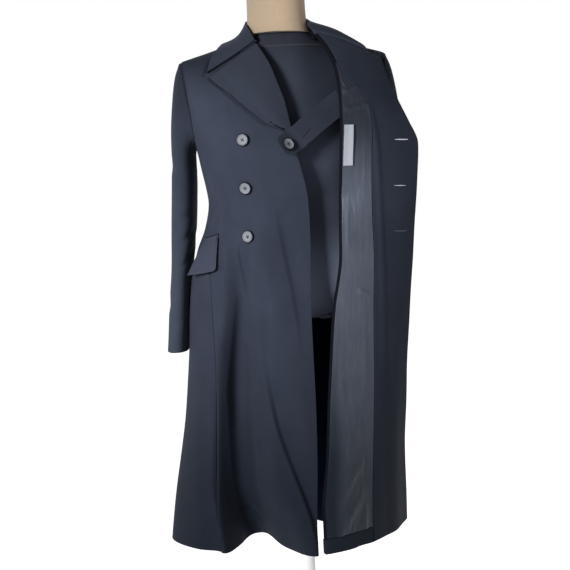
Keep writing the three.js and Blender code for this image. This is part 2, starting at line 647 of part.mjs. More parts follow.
const LINING_COLUMNS = [0.13, 0.26, SEAM_COLUMN];
const FACING_COLUMNS = spread(SEAM_COLUMN, 1, 5).slice(1);
const leftColumns = [0, 0.09, 0.18].concat(
  spread(0.27, 1, 6),
  [1.33, 1.66, 2, 2.03],
  LINING_COLUMNS.concat(FACING_COLUMNS).map((column) => column + 2),
);
add('front_left', clothWall(frontLeftPoint, leftColumns, BODY_ROWS, {
  outward: -1,
  trims: { start: HALF_GAP, top: HALF_GAP },
  reach: { u: [-0.1, 3], v: [0, 2] },
}), wool);

// Facing, lining, hem band and label lie on the turned-back cloth's inside.
function layOnTurnBack(name, columns, rows, thick, look, lift = 0) {
  const surface = (u, v) => frontLeftPoint(2 + u, v);
  add(name, clothWall(surface, columns, rows, {
    lift: WOOL + LAY_GAP + thick + lift,
    thick,
    outward: 1,
    trims: { start: HALF_GAP, end: HALF_GAP, top: HALF_GAP, bottom: HALF_GAP },
    reach: { u: [0, 1], v: [0, 2] },
  }), look);
}

const LAID_TOP = 1.8;          // what lies on the turned-back front ends under the collar, as up
const upperRows = BODY_ROWS.filter((up) => up > liningFoot && up < LAID_TOP).concat([LAID_TOP]);
const LABEL_COLUMNS = [0.005, 0.06, 0.13];
const LABEL_ROWS = [heightToUp(1072), 1, 1.11];
const liningColumns = [0, 0.03].concat(LINING_COLUMNS);
layOnTurnBack('facing_left', [SEAM_COLUMN].concat(FACING_COLUMNS.slice(0, -1), [0.985]),
  [0.003, liningFoot].concat(upperRows), FACING, wool);
layOnTurnBack('lining_left', liningColumns, [liningFoot].concat(upperRows), SATIN, satin);
layOnTurnBack('hem_left', liningColumns, [0.003, liningFoot], FACING, wool);
layOnTurnBack('label_care', LABEL_COLUMNS, LABEL_ROWS, LABEL_THICK,
  material(0xbfc4cc, 0.8), SATIN + LAY_GAP);

// ---------------------------------------------------------------- sleeves
// ring: 0 to 1 round the arm from its outermost line over the front; up: 0 at the cuff,
// 1 at the chest level, 2 at the armhole. Point of one arm's section at a height.
function armSection(table, ring, z) {
  const read = (column) => lookup(table, 'z', z, column);
  const turn = ring * 2 * Math.PI;
  const square = (value) => Math.sign(value) * Math.abs(value) ** ARM_SQUARE;
  const x = mix(read('inner'), read('outer'), 0.5 + 0.5 * square(Math.cos(turn)));
  const y = mix(read('back'), read('front'), 0.5 + 0.5 * square(Math.sin(turn)));
  return new THREE.Vector3(x, y, z);
}

// The armhole: from the shoulder point down the front to the armpit and up the back.
function armholePoint(side, ring) {
  const round = ring - Math.floor(ring);
  const down = 1 - Math.abs(1 - 2 * round);
  const along = mix(SHOULDER_POINT, 0.5, down);
  return bodyPoint(side, round <= 0.5 ? along : 1 - along, 2);
}

function sleevePoint(side, ring, up) {
  const table = side < 0 ? RIGHT_ARM : LEFT_ARM;
  const cuff = table[0].z;
  if (up <= 1) return armSection(table, ring, mix(cuff, ARM_TOP, up));
  const t = up - 1;
  const start = armSection(table, ring, ARM_TOP);
  const end = armholePoint(side, ring);
  end.x += side * SEAM_GAP * 1.2;
  const outer = 0.5 + 0.5 * Math.cos(ring * 2 * Math.PI);
  const climb = (end.z - start.z) * 0.55;
  const first = start.clone().add(new THREE.Vector3(0, 0, climb));
  const second = end.clone().add(new THREE.Vector3(side * mix(1.5, ARM_BULGE, outer), 0, -climb * 0.12));
  return start.multiplyScalar((1 - t) ** 3)
    .addScaledVector(first, 3 * t * (1 - t) ** 2)
    .addScaledVector(second, 3 * t * t * (1 - t))
    .addScaledVector(end, t ** 3);
}

// At the armhole the sleeve's edge stands square to the seam, clear of the body's edge.
function squareToArmhole(u, v, normal) {
  if (v < 2) return normal;
  const flat = normal.clone().setX(0);
  return flat.length() > 0.35 ? flat.normalize() : normal;
}

const ARM_ROWS = spread(0, 1, 6).concat(spread(1, 2, 6).slice(1));
function sleeve(name, side, from, to, count) {
  const surface = (u, v) => sleevePoint(side, u, v);
  add(name, clothWall(surface, spread(from, to, count), ARM_ROWS, {
    outward: -side,
    trims: { start: HALF_GAP, end: HALF_GAP },
    reach: { u: [-1, 2], v: [0, 2] },
    bend: squareToArmhole,
  }), wool);
}
// Each arm's two seams, as a share of the ring either side of the outermost line.
const RIGHT_ARM_SEAM = 0.36;
const LEFT_ARM_SEAM = 0.27;
sleeve('sleeve_right_top', -1, -RIGHT_ARM_SEAM, RIGHT_ARM_SEAM, 13);
sleeve('sleeve_right_under', -1, RIGHT_ARM_SEAM, 1 - RIGHT_ARM_SEAM, 6);
sleeve('sleeve_left_top', 1, -LEFT_ARM_SEAM, LEFT_ARM_SEAM, 10);
sleeve('sleeve_left_under', 1, LEFT_ARM_SEAM, 1 - LEFT_ARM_SEAM, 8);

// ---------------------------------------------------------------- lapel and collar
// across: 0 on the roll line, 1 at the outer edge; up: 0 at the bottom, 1 at the gorge.
function lapelPoint(across, up) {
  const read = (column) => lookup(LAPEL, 'up', up, column);
  const x = mix(read('rollX'), read('outerX'), across);
  const z = mix(read('rollZ'), read('outerZ'), across);
  const width = lookup(RIGHT_SECTIONS, 'z', z, 'width');
  const point = sectionPoint(-1, x / width, false, z);
  const clear = mix(LAPEL_FOOT, LAPEL_CLEAR, clamp01(up / 0.14));
  point.y -= clear + LAPEL_SPRING * clamp01(up / 0.14) * Math.sin(Math.PI * Math.min(1, across * 1.25) * 0.8);
  return point;
}
add('lapel_right', clothWall(lapelPoint, spread(0, 1, 7), spread(0, 1, 11), {
  thick: LAPEL_THICK,
  lift: LAPEL_THICK,
  outward: -1,
  trims: { top: HALF_GAP },
}), wool);

// station: 0 at the right front end, 1 at the left; drop: 0 on the fold, 1 at the outer edge.
function collarRow(station, which) {
  const at = station * (COLLAR.length - 1);
  const table = COLLAR.map((row, i) => ({ at: i, x: row[which][0], y: row[which][1], z: row[which][2] }));
  return new THREE.Vector3(...['x', 'y', 'z'].map((axis) => lookup(table, 'at', at, axis)));
}

const COLLAR_SAG = COLLAR.map((row, i) => ({ at: i / (COLLAR.length - 1), sag: row.sag }));
function collarPoint(station, drop) {
  const fold = collarRow(station, 'fold');
  const edge = collarRow(station, 'edge');
  const out = edge.clone().sub(fold).setZ(0).normalize();
  const sag = lookup(COLLAR_SAG, 'at', station, 'sag') * Math.sin(Math.PI * drop);
  fold.lerp(edge, drop).addScaledVector(out, -sag * 0.6);
  fold.z -= sag * 0.8;
  return fold;
}
add('collar_fall', clothWall(collarPoint, spread(0, 1, 26), spread(0, 1, 6), {
  thick: COLLAR_THICK,
  outward: 1,
}), wool);

function standPoint(station, rise) {
  const fold = collarRow(station, 'fold');
  const base = collarRow(station, 'neck');
  const inward = new THREE.Vector3(NECK_X, NECK_Y, fold.z).sub(fold).setZ(0).normalize();
  fold.addScaledVector(inward, COLLAR_THICK + 0.6).z -= 3;
  return base.lerp(fold, rise);
}
add('collar_stand', clothWall(standPoint, spread(0, 1, 24), spread(0, 1, 2), {
  thick: FACING,
  outward: -1,
}), wool);

// ---------------------------------------------------------------- pocket flaps
// across: 0 at the front end, 1 at the side end; drop: 0 at the top, 1 at the bottom.
function flapPoint(side, across, drop) {
  const read = (column) => lookup(FLAP, 'across', across, column);
  const z = mix(read('topZ'), read('bottomZ'), drop);
  const x = mix(read('topX'), read('bottomX'), drop);
  const table = side < 0 ? RIGHT_SECTIONS : LEFT_SECTIONS;
  const width = lookup(table, 'z', z, 'width');
  const point = sectionPoint(side, Math.max(-0.985, x / width), false, z);
  const spring = mix(read('topOut'), read('bottomOut'), drop);
  const away = new THREE.Vector3(side * 0.6, -0.8, 0);
  return point.addScaledVector(away, spring);
}
function pocketFlap(name, side) {
  add(name, clothWall((u, v) => flapPoint(side, u, v), spread(0, 1, 6), spread(0, 1, 4), {
    thick: FLAP_THICK,
    lift: FLAP_THICK + LAY_GAP,
    outward: -side,
  }), wool);
}
pocketFlap('pocket_flap_right', -1);
pocketFlap('pocket_flap_left', 1);

// ---------------------------------------------------------------- buttons and tab
// A closed body turned about the Y axis from its profile of radius and height.
function turnedGeometry(profile, sides) {
  const turned = new THREE.LatheGeometry(profile.map(([x, y]) => new THREE.Vector2(x, y)), sides);
  turned.deleteAttribute('uv');
  turned.deleteAttribute('normal');
  const positions = Array.from(turned.getAttribute('position').array);
  return closedGeometry(positions, Array.from(turned.getIndex().array));
}

// A dished button with a rounded rim.
function buttonGeometry() {
  const r = BUTTON_DIAMETER / 2;
  const h = BUTTON_THICKNESS;
  const back = [[0, 0], [r * 0.8, 0], [r, h * 0.35], [r, h * 0.7]];
  const dish = [[r * 0.9, h], [r * 0.78, h], [r * 0.68, h * 0.72], [0, h * 0.66]];
  return turnedGeometry(back.concat(dish), BUTTON_SIDES);
}

// Sets a button down on a surface point, its back the given distance off it.
function addButton(name, point, normal, stand) {
  const mesh = add(name, buttonGeometry(), material(0x2b2f36, 0.35));
  mesh.quaternion.setFromUnitVectors(new THREE.Vector3(0, 1, 0), normal);
  mesh.position.copy(point).addScaledVector(normal, stand);
}

function frontSurface(x, z) {
  const width = (level) => lookup(RIGHT_SECTIONS, 'z', level, 'width');
  const at = (px, pz) => sectionPoint(-1, px / width(pz), false, pz);
  const right = at(x + 2, z).sub(at(x - 2, z));
  const rise = at(x, z + 2).sub(at(x, z - 2));
  return { point: at(x, z), normal: right.cross(rise).normalize() };
}

BUTTONS.forEach(({ z, seat }, i) => {
  const { point, normal } = frontSurface(BUTTON_X, z);
  addButton(`button_right_${i + 1}`, point, normal, BUTTON_STAND - seat);
});

// The inner tab runs from its button on the right front's edge to behind the left front.
function tabPoint(along, across) {
  const read = (column) => lookup(TAB, 'along', along, column);
  const centre = new THREE.Vector3(read('x'), read('y'), read('z'));
  const half = read('half');
  const way = new THREE.Vector3(-TAB_RISE, 0, 1).normalize();
  return centre.addScaledVector(way, (across - 0.5) * 2 * half);
}
add('tab_strap', clothWall(tabPoint, spread(0, 1, 12), spread(0, 1, 2), {
  thick: TAB_THICK,
  outward: 1,
}), wool);
const tabNormal = normalOf(tabPoint, 0.14, 0.5, { u: [0, 1], v: [0, 1] });
addButton('button_tab', tabPoint(0.14, 0.5), tabNormal, BUTTON_STAND);

// ---------------------------------------------------------------- dress form and stand
// How far the form lies under the coat's surface: close on the shoulders, easier at the neck.
const formUnder = (z) => FORM_UNDER + NECK_EASE * smooth((z - 1316) / 18);

// Half width of the form where its top slopes along the shoulder ridge.
function ridgeReach(z) {
  let x = RIDGE[RIDGE.length - 1].x;
  while (x > 0 && ridgeHeight(x) - formUnder(z) < z) x -= 0.25;
  return x;
}

function formPoint(turn, z) {
  const read = (column) => lookup(FORM_SECTIONS, 'z', z, column);
  const angle = turn * 2 * Math.PI;
  const atBack = Math.cos(angle) < 0;
  const halfWidth = Math.min(read('width'), ridgeReach(z));
  const x = halfWidth * Math.sin(angle);
  const cosine = Math.sqrt(Math.max(0, 1 - (x / read('width')) ** 2)) ** 0.8;
  const fade = ridgeRound(x, z + formUnder(z));
  const depth = read(atBack ? 'back' : 'front');
  const y = read('centre') * fade + (atBack ? 1 : -1) * depth * cosine * fade;
  return new THREE.Vector3(x, y, z);
}

// A closed body through level rings, with a point at each end.
function ringBody(rings, bottom, top) {
  const count = rings[0].length;
  const positions = [];
  const index = [];
  rings.forEach((ring) => ring.forEach((p) => positions.push(p.x, p.y, p.z)));
  positions.push(bottom.x, bottom.y, bottom.z, top.x, top.y, top.z);
  const low = rings.length * count;
  for (let j = 0; j < count; j += 1) {
    const next = (j + 1) % count;
    for (let i = 0; i < rings.length - 1; i += 1) {
      const a = i * count;
      const b = a + count;
      index.push(a + j, a + next, b + next, a + j, b + next, b + j);
    }
    const last = (rings.length - 1) * count;
    index.push(low, next, j, low + 1, last + j, last + next);
  }
  return closedGeometry(positions, index);
}

const formLevels = FORM_SECTIONS.map((row) => row.z).filter((z) => z < 1280)
  .concat([1280, 1294, 1303, 1309, 1315, 1321, 1327, 1332, 1336, 1340, 1344, FORM_TOP]);
const formRings = formLevels.map((z) => Array.from({ length: 28 }, (_, j) => formPoint(j / 28, z)));
const jersey = material(0x0f141c, 0.85);
add('form_torso', ringBody(
  formRings,
  new THREE.Vector3(0, 0, FORM_BOTTOM),
  new THREE.Vector3(NECK_X, NECK_Y, FORM_TOP),
), jersey);

// An upright round post from one height to another, with a chamfered top where rim is given.
function turnedPost(name, radius, from, to, [x, y], look, rim = 0) {
  const height = to - from;
  const shoulder = rim ? [[radius, height - rim], [radius - rim, height]] : [[radius, height]];
  const geometry = turnedGeometry([[0, 0], [radius, 0]].concat(shoulder, [[0, height]]), POST_SIDES);
  geometry.rotateX(Math.PI / 2);
  add(name, geometry, look).position.set(x, y, from);
}
const POST_SIDES = 28;
const CAP_INSET = 4;           // the cap is this much smaller than the neck, with a rim as wide
const BASE_RIM = 3;
const neckAt = [NECK_X, NECK_Y];
const capTop = NECK_TOP + NECK_CAP;
const linen = material(0xb9a583, 0.9);
const wood = material(0x8a6a45, 0.5);
const paint = material(0xdedede, 0.35, 0.2);
turnedPost('form_neck', NECK_RADIUS, FORM_TOP + SEAM_GAP, NECK_TOP, neckAt, linen);
turnedPost('form_neck_cap', NECK_RADIUS - CAP_INSET, NECK_TOP + SEAM_GAP, capTop, neckAt, wood, CAP_INSET);
turnedPost('stand_pole', POLE_DIAMETER / 2, BASE_THICKNESS + SEAM_GAP, FORM_BOTTOM - SEAM_GAP, [0, 0], paint);
turnedPost('stand_base', BASE_DIAMETER / 2, 0, BASE_THICKNESS, [0, 0], paint, BASE_RIM);

export default coat;
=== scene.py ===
"""A double-breasted wool coat hung open on a limbless dress form.

Sizes are in millimetres until a mesh is made. Z is up, the coat's front faces -Y and
the wearer's right side lies at -X.
"""
import functools
import json
import math

import bpy
import numpy as np
from mathutils import Matrix, Vector


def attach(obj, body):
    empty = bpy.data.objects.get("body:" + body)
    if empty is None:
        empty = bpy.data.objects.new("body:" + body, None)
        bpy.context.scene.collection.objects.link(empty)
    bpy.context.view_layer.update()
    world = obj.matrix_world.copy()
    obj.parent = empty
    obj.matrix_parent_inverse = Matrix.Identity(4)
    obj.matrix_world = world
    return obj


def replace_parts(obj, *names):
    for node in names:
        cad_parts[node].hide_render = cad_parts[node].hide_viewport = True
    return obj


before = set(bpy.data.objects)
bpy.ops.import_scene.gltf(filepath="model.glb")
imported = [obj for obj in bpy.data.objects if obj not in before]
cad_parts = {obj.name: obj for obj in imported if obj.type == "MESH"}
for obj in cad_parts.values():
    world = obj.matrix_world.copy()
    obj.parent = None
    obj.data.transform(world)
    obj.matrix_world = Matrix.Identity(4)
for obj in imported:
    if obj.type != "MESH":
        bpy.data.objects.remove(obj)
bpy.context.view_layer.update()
bpy.ops.object.select_all(action="DESELECT")

# ------------------------------------------------------------------ studio
# A plain pale floor that runs to the horizon and a white surround that is dimmer overhead
# and on the right, with one soft square lamp at the front left.
CAMERA_PLACE = (-0.018, -2.4, 1.040)
CAMERA_LENS = 72.19
CAMERA_DOWN = math.radians(5)
CAMERA_ROLL = math.radians(-3)

scene = bpy.context.scene
scene.view_settings.view_transform = "Standard"

camera_data = bpy.data.cameras.new("camera")
camera_data.lens = CAMERA_LENS
camera_data.sensor_width = 36
camera = bpy.data.objects.new("camera", camera_data)
scene.collection.objects.link(camera)
pitch = Matrix.Rotation(math.pi / 2 - CAMERA_DOWN, 4, "X")
camera.matrix_world = Matrix.Translation(CAMERA_PLACE) @ pitch @ Matrix.Rotation(CAMERA_ROLL, 4, "Z")
scene.camera = camera

surround = bpy.data.worlds.new("surround")
surround.use_nodes = True


def surround_node(kind, settings, sockets):
    node = surround.node_tree.nodes.new(kind)
    for key, value in settings.items():
        setattr(node, key, value)
    for key, value in sockets.items():
        if isinstance(value, bpy.types.NodeSocket):
            surround.node_tree.links.new(value, node.inputs[key])
        else:
            node.inputs[key].default_value = value
    return node.outputs


way = surround_node("ShaderNodeTexCoord", {}, {})["Generated"]
parts = surround_node("ShaderNodeSeparateXYZ", {}, {0: way})
dimming = []
# Each axis: where the dimming starts and ends, and the share of light left there.
for axis, first, last, least in (("Z", 0.25, 0.7, 0.15), ("X", 0.4, 0.8, 0.6), ("Y", 0.3, -0.4, 0.6)):
    sockets = {"Value": parts[axis], "From Min": first, "From Max": last, "To Min": 1.0, "To Max": least}
    dimming.append(surround_node("ShaderNodeMapRange", {"interpolation_type": "SMOOTHSTEP"}, sockets)[0])
dimmed = dimming[0]
for share in dimming[1:]:
    dimmed = surround_node("ShaderNodeMath", {"operation": "MULTIPLY"}, {0: dimmed, 1: share})[0]
background = surround.node_tree.nodes["Background"]
background.inputs["Color"].default_value = (1, 1, 1, 1)
surround.node_tree.links.new(dimmed, background.inputs["Strength"])
scene.world = surround

bpy.ops.mesh.primitive_plane_add(size=60, location=(0, 0, -0.0005))
floor = bpy.context.object
floor.name = "floor"
floor_finish = bpy.data.materials.new("pale_floor")
floor_finish.use_nodes = True
floor_shader = floor_finish.node_tree.nodes["Principled BSDF"]
floor_look = {"Base Color": (0.97, 0.97, 0.97, 1), "Roughness": 0.9, "Emission Color": (1, 1, 1, 1)}
for socket, value in {**floor_look, "Emission Strength": 0.8}.items():
    floor_shader.inputs[socket].default_value = value
floor.data.materials.append(floor_finish)

LAMP_PLACE = Vector((-1.7, -2.3, 1.5))
LAMP_TARGET = Vector((-0.06, 0, 1.0))
light = bpy.data.lights.new("key_lamp", "AREA")
light.spread = math.radians(42)
light.size = 0.8
light.energy = 13
lamp = bpy.data.objects.new("key_lamp", light)
aim = (LAMP_TARGET - LAMP_PLACE).to_track_quat("-Z", "Y").to_matrix().to_4x4()
lamp.matrix_world = Matrix.Translation(LAMP_PLACE) @ aim
scene.collection.objects.link(lamp)

# ------------------------------------------------------------------ wool cloth
# Dark navy wool gabardine with a fine steep twill, a little uneven in colour and with
# a soft bloom of fibres that catches the light at its edges.


class Value:
    """A shader socket whose sums and products add Math nodes."""

    def __init__(self, finish, socket):
        self.finish = finish
        self.socket = socket

    def _with(self, operation, first, second):
        return self.finish.node("ShaderNodeMath", {"operation": operation}, {0: first, 1: second})

    def __add__(self, other):
        return self._with("ADD", self, other)

    def __radd__(self, other):
        return self._with("ADD", other, self)

    def __sub__(self, other):
        return self._with("SUBTRACT", self, other)

    def __rsub__(self, other):
        return self._with("SUBTRACT", other, self)

    def __mul__(self, other):
        return self._with("MULTIPLY", self, other)

    def __rmul__(self, other):
        return self._with("MULTIPLY", other, self)

    def wave(self):
        return self.finish.node("ShaderNodeMath", {"operation": "SINE"}, {0: self})


class Finish:
    """A material with one Principled shader, and a way to add nodes before it."""

    def __init__(self, name, **constants):
        self.material = bpy.data.materials.new(name)
        self.material.use_nodes = True
        self.tree = self.material.node_tree
        self.shader = self.tree.nodes["Principled BSDF"]
        for socket, value in constants.items():
            label = socket.replace("_", " ").title().replace("Ior", "IOR")
            self.shader.inputs[label].default_value = value

    def node(self, kind, settings=None, sockets=None, out=0):
        node = self.tree.nodes.new(kind)
        for key, value in (settings or {}).items():
            setattr(node, key, value)
        for key, value in (sockets or {}).items():
            if isinstance(value, Value):
                self.tree.links.new(value.socket, node.inputs[key])
            else:
                node.inputs[key].default_value = value
        return Value(self, node.outputs[out])

    def feed(self, socket, value):
        self.tree.links.new(value.socket, self.shader.inputs[socket])

    def uv(self):
        """The cloth's own measure across and along it, in metres."""
        split = self.node("ShaderNodeUVMap")
        parts = self.tree.nodes.new("ShaderNodeSeparateXYZ")
        self.tree.links.new(split.socket, parts.inputs[0])
        return split, Value(self, parts.outputs[0]), Value(self, parts.outputs[1])

    def noise(self, place, scale, detail=3.0, rough=0.55):
        sockets = {"Vector": place, "Scale": scale, "Detail": detail, "Roughness": rough}
        return self.node("ShaderNodeTexNoise", sockets=sockets)

    def stretch(self, place, x, y, z=1.0, turn=0.0):
        sockets = {"Vector": place, "Rotation": (0, 0, turn), "Scale": (x, y, z)}
        return self.node("ShaderNodeMapping", sockets=sockets)

    def between(self, share, first, second):
        colours = [each if isinstance(each, Value) else (*each, 1) for each in (first, second)]
        sockets = {"Factor": share, 6: colours[0], 7: colours[1]}
        return self.node("ShaderNodeMix", {"data_type": "RGBA"}, sockets, out=2)

    def place(self):
        return self.node("ShaderNodeTexCoord", out=3)

    def sideways(self):
        return self.node("ShaderNodeSeparateXYZ", sockets={0: self.place()}, out=0)

    def height(self):
        return self.node("ShaderNodeSeparateXYZ", sockets={0: self.place()}, out=2)

    def ramp(self, value, low, low_share, high, high_share):
        """A soft step from one share at or under low to another at or over high."""
        sockets = {"Value": value, "From Min": low, "From Max": high, "To Min": low_share, "To Max": high_share}
        return self.node("ShaderNodeMapRange", {"interpolation_type": "SMOOTHSTEP"}, sockets)

    def fade(self, colour, value, *steps, toward=(0, 0, 0)):
        """A colour that goes toward a dark one as a value passes each soft step; used to paint shade by height or side.
        """
        for step in steps:
            colour = self.between(self.ramp(value, *step), toward, colour)
        return colour

    def bump(self, height, strength, distance):
        sockets = {"Height": height, "Strength": strength, "Distance": distance}
        self.feed("Normal", self.node("ShaderNodeBump", sockets=sockets))


def mottled(name, scale, detail, dark, light, **constants):
    """A finish that is only a little uneven between two colours."""
    finish = Finish(name, **constants)
    finish.feed("Base Color", finish.between(finish.noise(finish.place(), scale, detail), dark, light))
    return finish.material


TWILL_PITCH = 0.0013           # metres between two twill lines
TWILL_DEPTH = 0.35


def wool_finish(name, dark, light, painted_shade_steps=()):
    """Its last argument paints shade by height: soft steps toward a dark colour, each as low, its share, high and its
    share.
    """
    wool = Finish(
        name, roughness=0.85, sheen_weight=0.05, sheen_roughness=0.4, sheen_tint=(0.62, 0.68, 0.85, 1),
        specular_ior_level=0.16, specular_tint=(0.5, 0.7, 1.0, 1),
    )
    place, across, along = wool.uv()
    lines = ((across * 2.2 + along) * (2 * math.pi / TWILL_PITCH)).wave()
    fibres = wool.noise(place, 900, 4)
    patches = wool.noise(place, 9, 4, 0.6)
    slubs = wool.noise(wool.stretch(place, 30, 320), 1.0, 3)
    hang = wool.noise(wool.stretch(place, 16, 2.4), 1.0, 3, 0.6)
    share = patches * 0.7 + hang * 0.7 + slubs * 0.3 + fibres * 0.2 - 0.5
    colour = wool.between(share, dark, light)
    wool.feed("Base Color", wool.fade(colour, wool.height(), *painted_shade_steps, toward=(0, 0.0002, 0.001)))
    wool.bump(lines * TWILL_DEPTH + fibres * 0.8 + slubs * 0.5, 0.35, 0.00035)
    return wool.material


WOOL = wool_finish("wool", (0.0088, 0.0104, 0.0154), (0.0190, 0.0212, 0.0300))
# The same cloth with light and shade painted in by height: the body darker toward hem and shoulder as painted shade,
# and the arms a lighter copy with painted light, paler toward the cuff.
SHADED_BODY_WOOL = wool_finish(
    "body_wool_painted_shade", (0.0082, 0.0100, 0.0155), (0.0205, 0.0232, 0.0338), ((0.34, 0.46, 0.84, 1.0), (1.22, 1.0, 1.32, 0.4))
)
# Painted light: a lighter copy of the wool for the arms, with painted shade toward the shoulder.
LIT_SLEEVE_WOOL = wool_finish(
    "sleeve_wool", (0.0135, 0.0164, 0.0245), (0.0290, 0.0324, 0.0450), ((0.76, 1.0, 1.10, 0.58), (1.12, 1.0, 1.26, 0.6))
)

# The coat's inside faces, near-black as painted shade for the inside of the coat.
INSIDE_SHADE = Finish("painted_inside_shade", roughness=0.8, specular_ior_level=0.05)
inside_shade_colours = ((0.0011, 0.0034, 0.0120), (0.0020, 0.0056, 0.0190))
INSIDE_SHADE.feed("Base Color", INSIDE_SHADE.between(INSIDE_SHADE.noise(INSIDE_SHADE.uv()[0], 14, 3), *inside_shade_colours))
PAINTED_INSIDE_SHADE = INSIDE_SHADE.material

# Near-black painted shade: on the under sides of pressed edges, and on the cords that draw shade lines along edges and
# seams.
PAINTED_DARK_SHADE = mottled(
    "under_edge", 700, 3, (0.0012, 0.0016, 0.0028), (0.0030, 0.0036, 0.0056), roughness=0.9, specular_ior_level=0.05
)

# ------------------------------------------------------------------ body panels
# Six wool panels: two fronts, two side panels and two backs, sewn edge to edge from hem
# to shoulder. Each is one cloth, hung on the form and falling in soft folds below the hip.


def table(columns, *rows):
    """Named columns, read by the first one."""
    return {name: np.array(values, float) for name, values in zip(columns.split(), zip(*rows))}


def read(rows, at, column):
    """A smooth curve through a column's values that never overshoots them."""
    x = rows[next(iter(rows))]
    y = rows[column]
    rise = np.diff(y) / np.diff(x)
    middle = (rise[:-1] + rise[1:]) / 2
    i = np.clip(np.searchsorted(x, at, side="left") - 1, 0, len(rise) - 1)
    h = x[i + 1] - x[i]
    t = np.clip((at - x[i]) / h, 0, 1)

    def limited(slope):
        cap = np.minimum(np.abs(slope), 3 * np.abs(rise[i]))
        return np.where(slope * rise[i] <= 0, 0, np.sign(slope) * cap)

    start = limited(np.concatenate([rise[:1], middle])[i])
    end = limited(np.concatenate([middle, rise[-1:]])[i])
    return (
        (2 * t**3 - 3 * t**2 + 1) * y[i]
        + (t**3 - 2 * t**2 + t) * h * start
        + (3 * t**2 - 2 * t**3) * y[i + 1]
        + (t**3 - t**2) * h * end
    )


def mix(a, b, t):
    return a + (b - a) * t


def smooth(t):
    t = np.clip(t, 0, 1)
    return t * t * (3 - 2 * t)


def bell(offset, left, right):
    """1 on a fold's line, 0 at its two sides."""
    t = np.where(offset < 0, -offset / left, offset / right)
    return 0.5 + 0.5 * np.cos(np.pi * np.clip(t, 0, 1))


def crease(*rows):
    """A fold along a line of x by height: its depth and the widths of its two slopes."""
    return table("z x depth left right", *rows)


def dip(fold, x, z):
    """How deep a place lies in a fold."""
    return read(fold, z, "depth") * bell(x - read(fold, z, "x"), read(fold, z, "left"), read(fold, z, "right"))


def unit(vectors):
    return vectors / np.maximum(np.linalg.norm(vectors, axis=-1, keepdims=True), 1e-9)


def steps(*runs):
    """Even steps through runs of first, last and count that share their ends."""
    return np.concatenate([np.linspace(*runs[0])] + [np.linspace(*run)[1:] for run in runs[1:]])


# Half-body sections by height. width: half width; front, back: depth at the centre;
# side: Y of the widest point; round: under 1 is boxier than an ellipse.
HIP_AND_ABOVE = [
    (914, 197, 145, 112, 4, 0.86),
    (957, 179, 139, 100, 5, 0.84),
    (1010, 168.6, 133, 90, 5, 0.82),
    (1039, 171.6, 138, 93, 5, 0.8),
    (1074, 177.5, 145, 100, 5, 0.8),
    (1124, 187, 149, 109, 5, 0.8),
    (1150, 196, 147, 113, 5, 0.8),
    (1195, 204, 140, 118, 5, 0.8),
    (1250, 211, 130, 118, 5, 0.8),
    (1304, 215, 120, 114, 5, 0.8),
    (1400, 216, 112, 110, 5, 0.8),
]
SECTIONS = {
    -1: table(
        "z width front back side round",
        (281, 290, 186, 150, 0, 1.22),
        (395, 274, 182, 144, 0, 1.15),
        (488, 257, 178, 138, 0, 1.1),
        (600, 239, 172, 133, 0, 1.05),
        (700, 227.5, 165, 128, 0, 1.0),
        (780, 220.8, 159, 124, 0, 0.95),
        (860, 211.5, 151, 119, 2, 0.9),
        *HIP_AND_ABOVE,
    ),
    1: table(
        "z width front back side round",
        (281, 207, 170, 150, 64, 1.24),
        (395, 206, 182, 144, 58, 1.24),
        (488, 205, 178, 138, 50, 1.2),
        (600, 205, 168, 133, 38, 1.12),
        (700, 206, 158, 128, 26, 1.05),
        (780, 206, 152, 124, 16, 1.0),
        (860, 203, 150, 119, 8, 0.95),
        *HIP_AND_ABOVE,
    ),
}
RIDGE = table(
    "x z", (0, 1373), (40, 1367), (66, 1352), (85, 1341), (115, 1331), (150, 1320), (190, 1309), (215, 1302)
)
FRONT_EDGE = {
    -1: table(
        "z x", (281, 22), (377, 23), (492, 28), (610, 31), (742, 31), (831, 32.5), (954, 37.5),
        (1024, 35), (1071, 25.5), (1097, 19), (1149, 10),
    ),
    1: table(
        "z x", (281, 39), (402, 39), (490, 51), (576, 58), (681, 68), (795, 81), (878, 97), (948, 101),
        (1036, 106), (1112, 110), (1160, 113), (1215, 113), (1275, 105), (1313, 90), (1345, 70),
    ),
}
SIDE_SEAMS = table(
    "z front back", (281, 0.62, 0.66), (700, 0.74, 0.76), (860, 0.8, 0.82), (1010, 0.86, 0.86), (1100, 0.94, 0.93)
)
SHOULDER_TOP = [
    (0.22, -0.66, 1326), (0.28, -0.82, 1314), (0.32, -0.963, 1304), (0.36, -0.945, 1250),
    (0.4, -0.938, 1195), (0.44, -0.955, 1150), (0.47, -0.985, 1130), (0.5, -1, 1124),
    (0.53, -0.985, 1130), (0.56, -0.962, 1150), (0.6, -0.95, 1195), (0.64, -0.952, 1250),
    (0.68, -0.963, 1304), (0.72, -0.82, 1314), (0.78, -0.6, 1328), (0.84, -0.395, 1341),
    (0.9, -0.26, 1343), (1.0, 0, 1338),
]
TOP_EDGE = {
    -1: table(
        "along reach z", (0, 0.05, 1149), (0.04, -0.015, 1206), (0.09, -0.118, 1272), (0.13, -0.25, 1328),
        (0.16, -0.395, 1341), *SHOULDER_TOP,
    ),
    1: table("along reach z", (0, -0.325, 1345), (0.16, -0.5, 1334), *SHOULDER_TOP),
}
FRONT_VALLEY = crease(
    (281, -101, 140, 66, 130), (374, -122, 104, 66, 118), (437, -130, 82, 66, 90),
    (552, -128, 58, 60, 78), (705, -116, 40, 52, 66), (817, -102, 24, 44, 60), (925, -108, 8, 36, 50),
    (980, -108, 0, 34, 46),
)
BACK_FLUTES = ((66, 66, 34, 840), (192, 60, 30, 760))     # x, half width, depth, top
SIDES = ((-1, "right"), (1, "left"))
HEM_HEIGHT = 301
CHEST_LEVEL = 1100
SIDE_FROM = 0.44
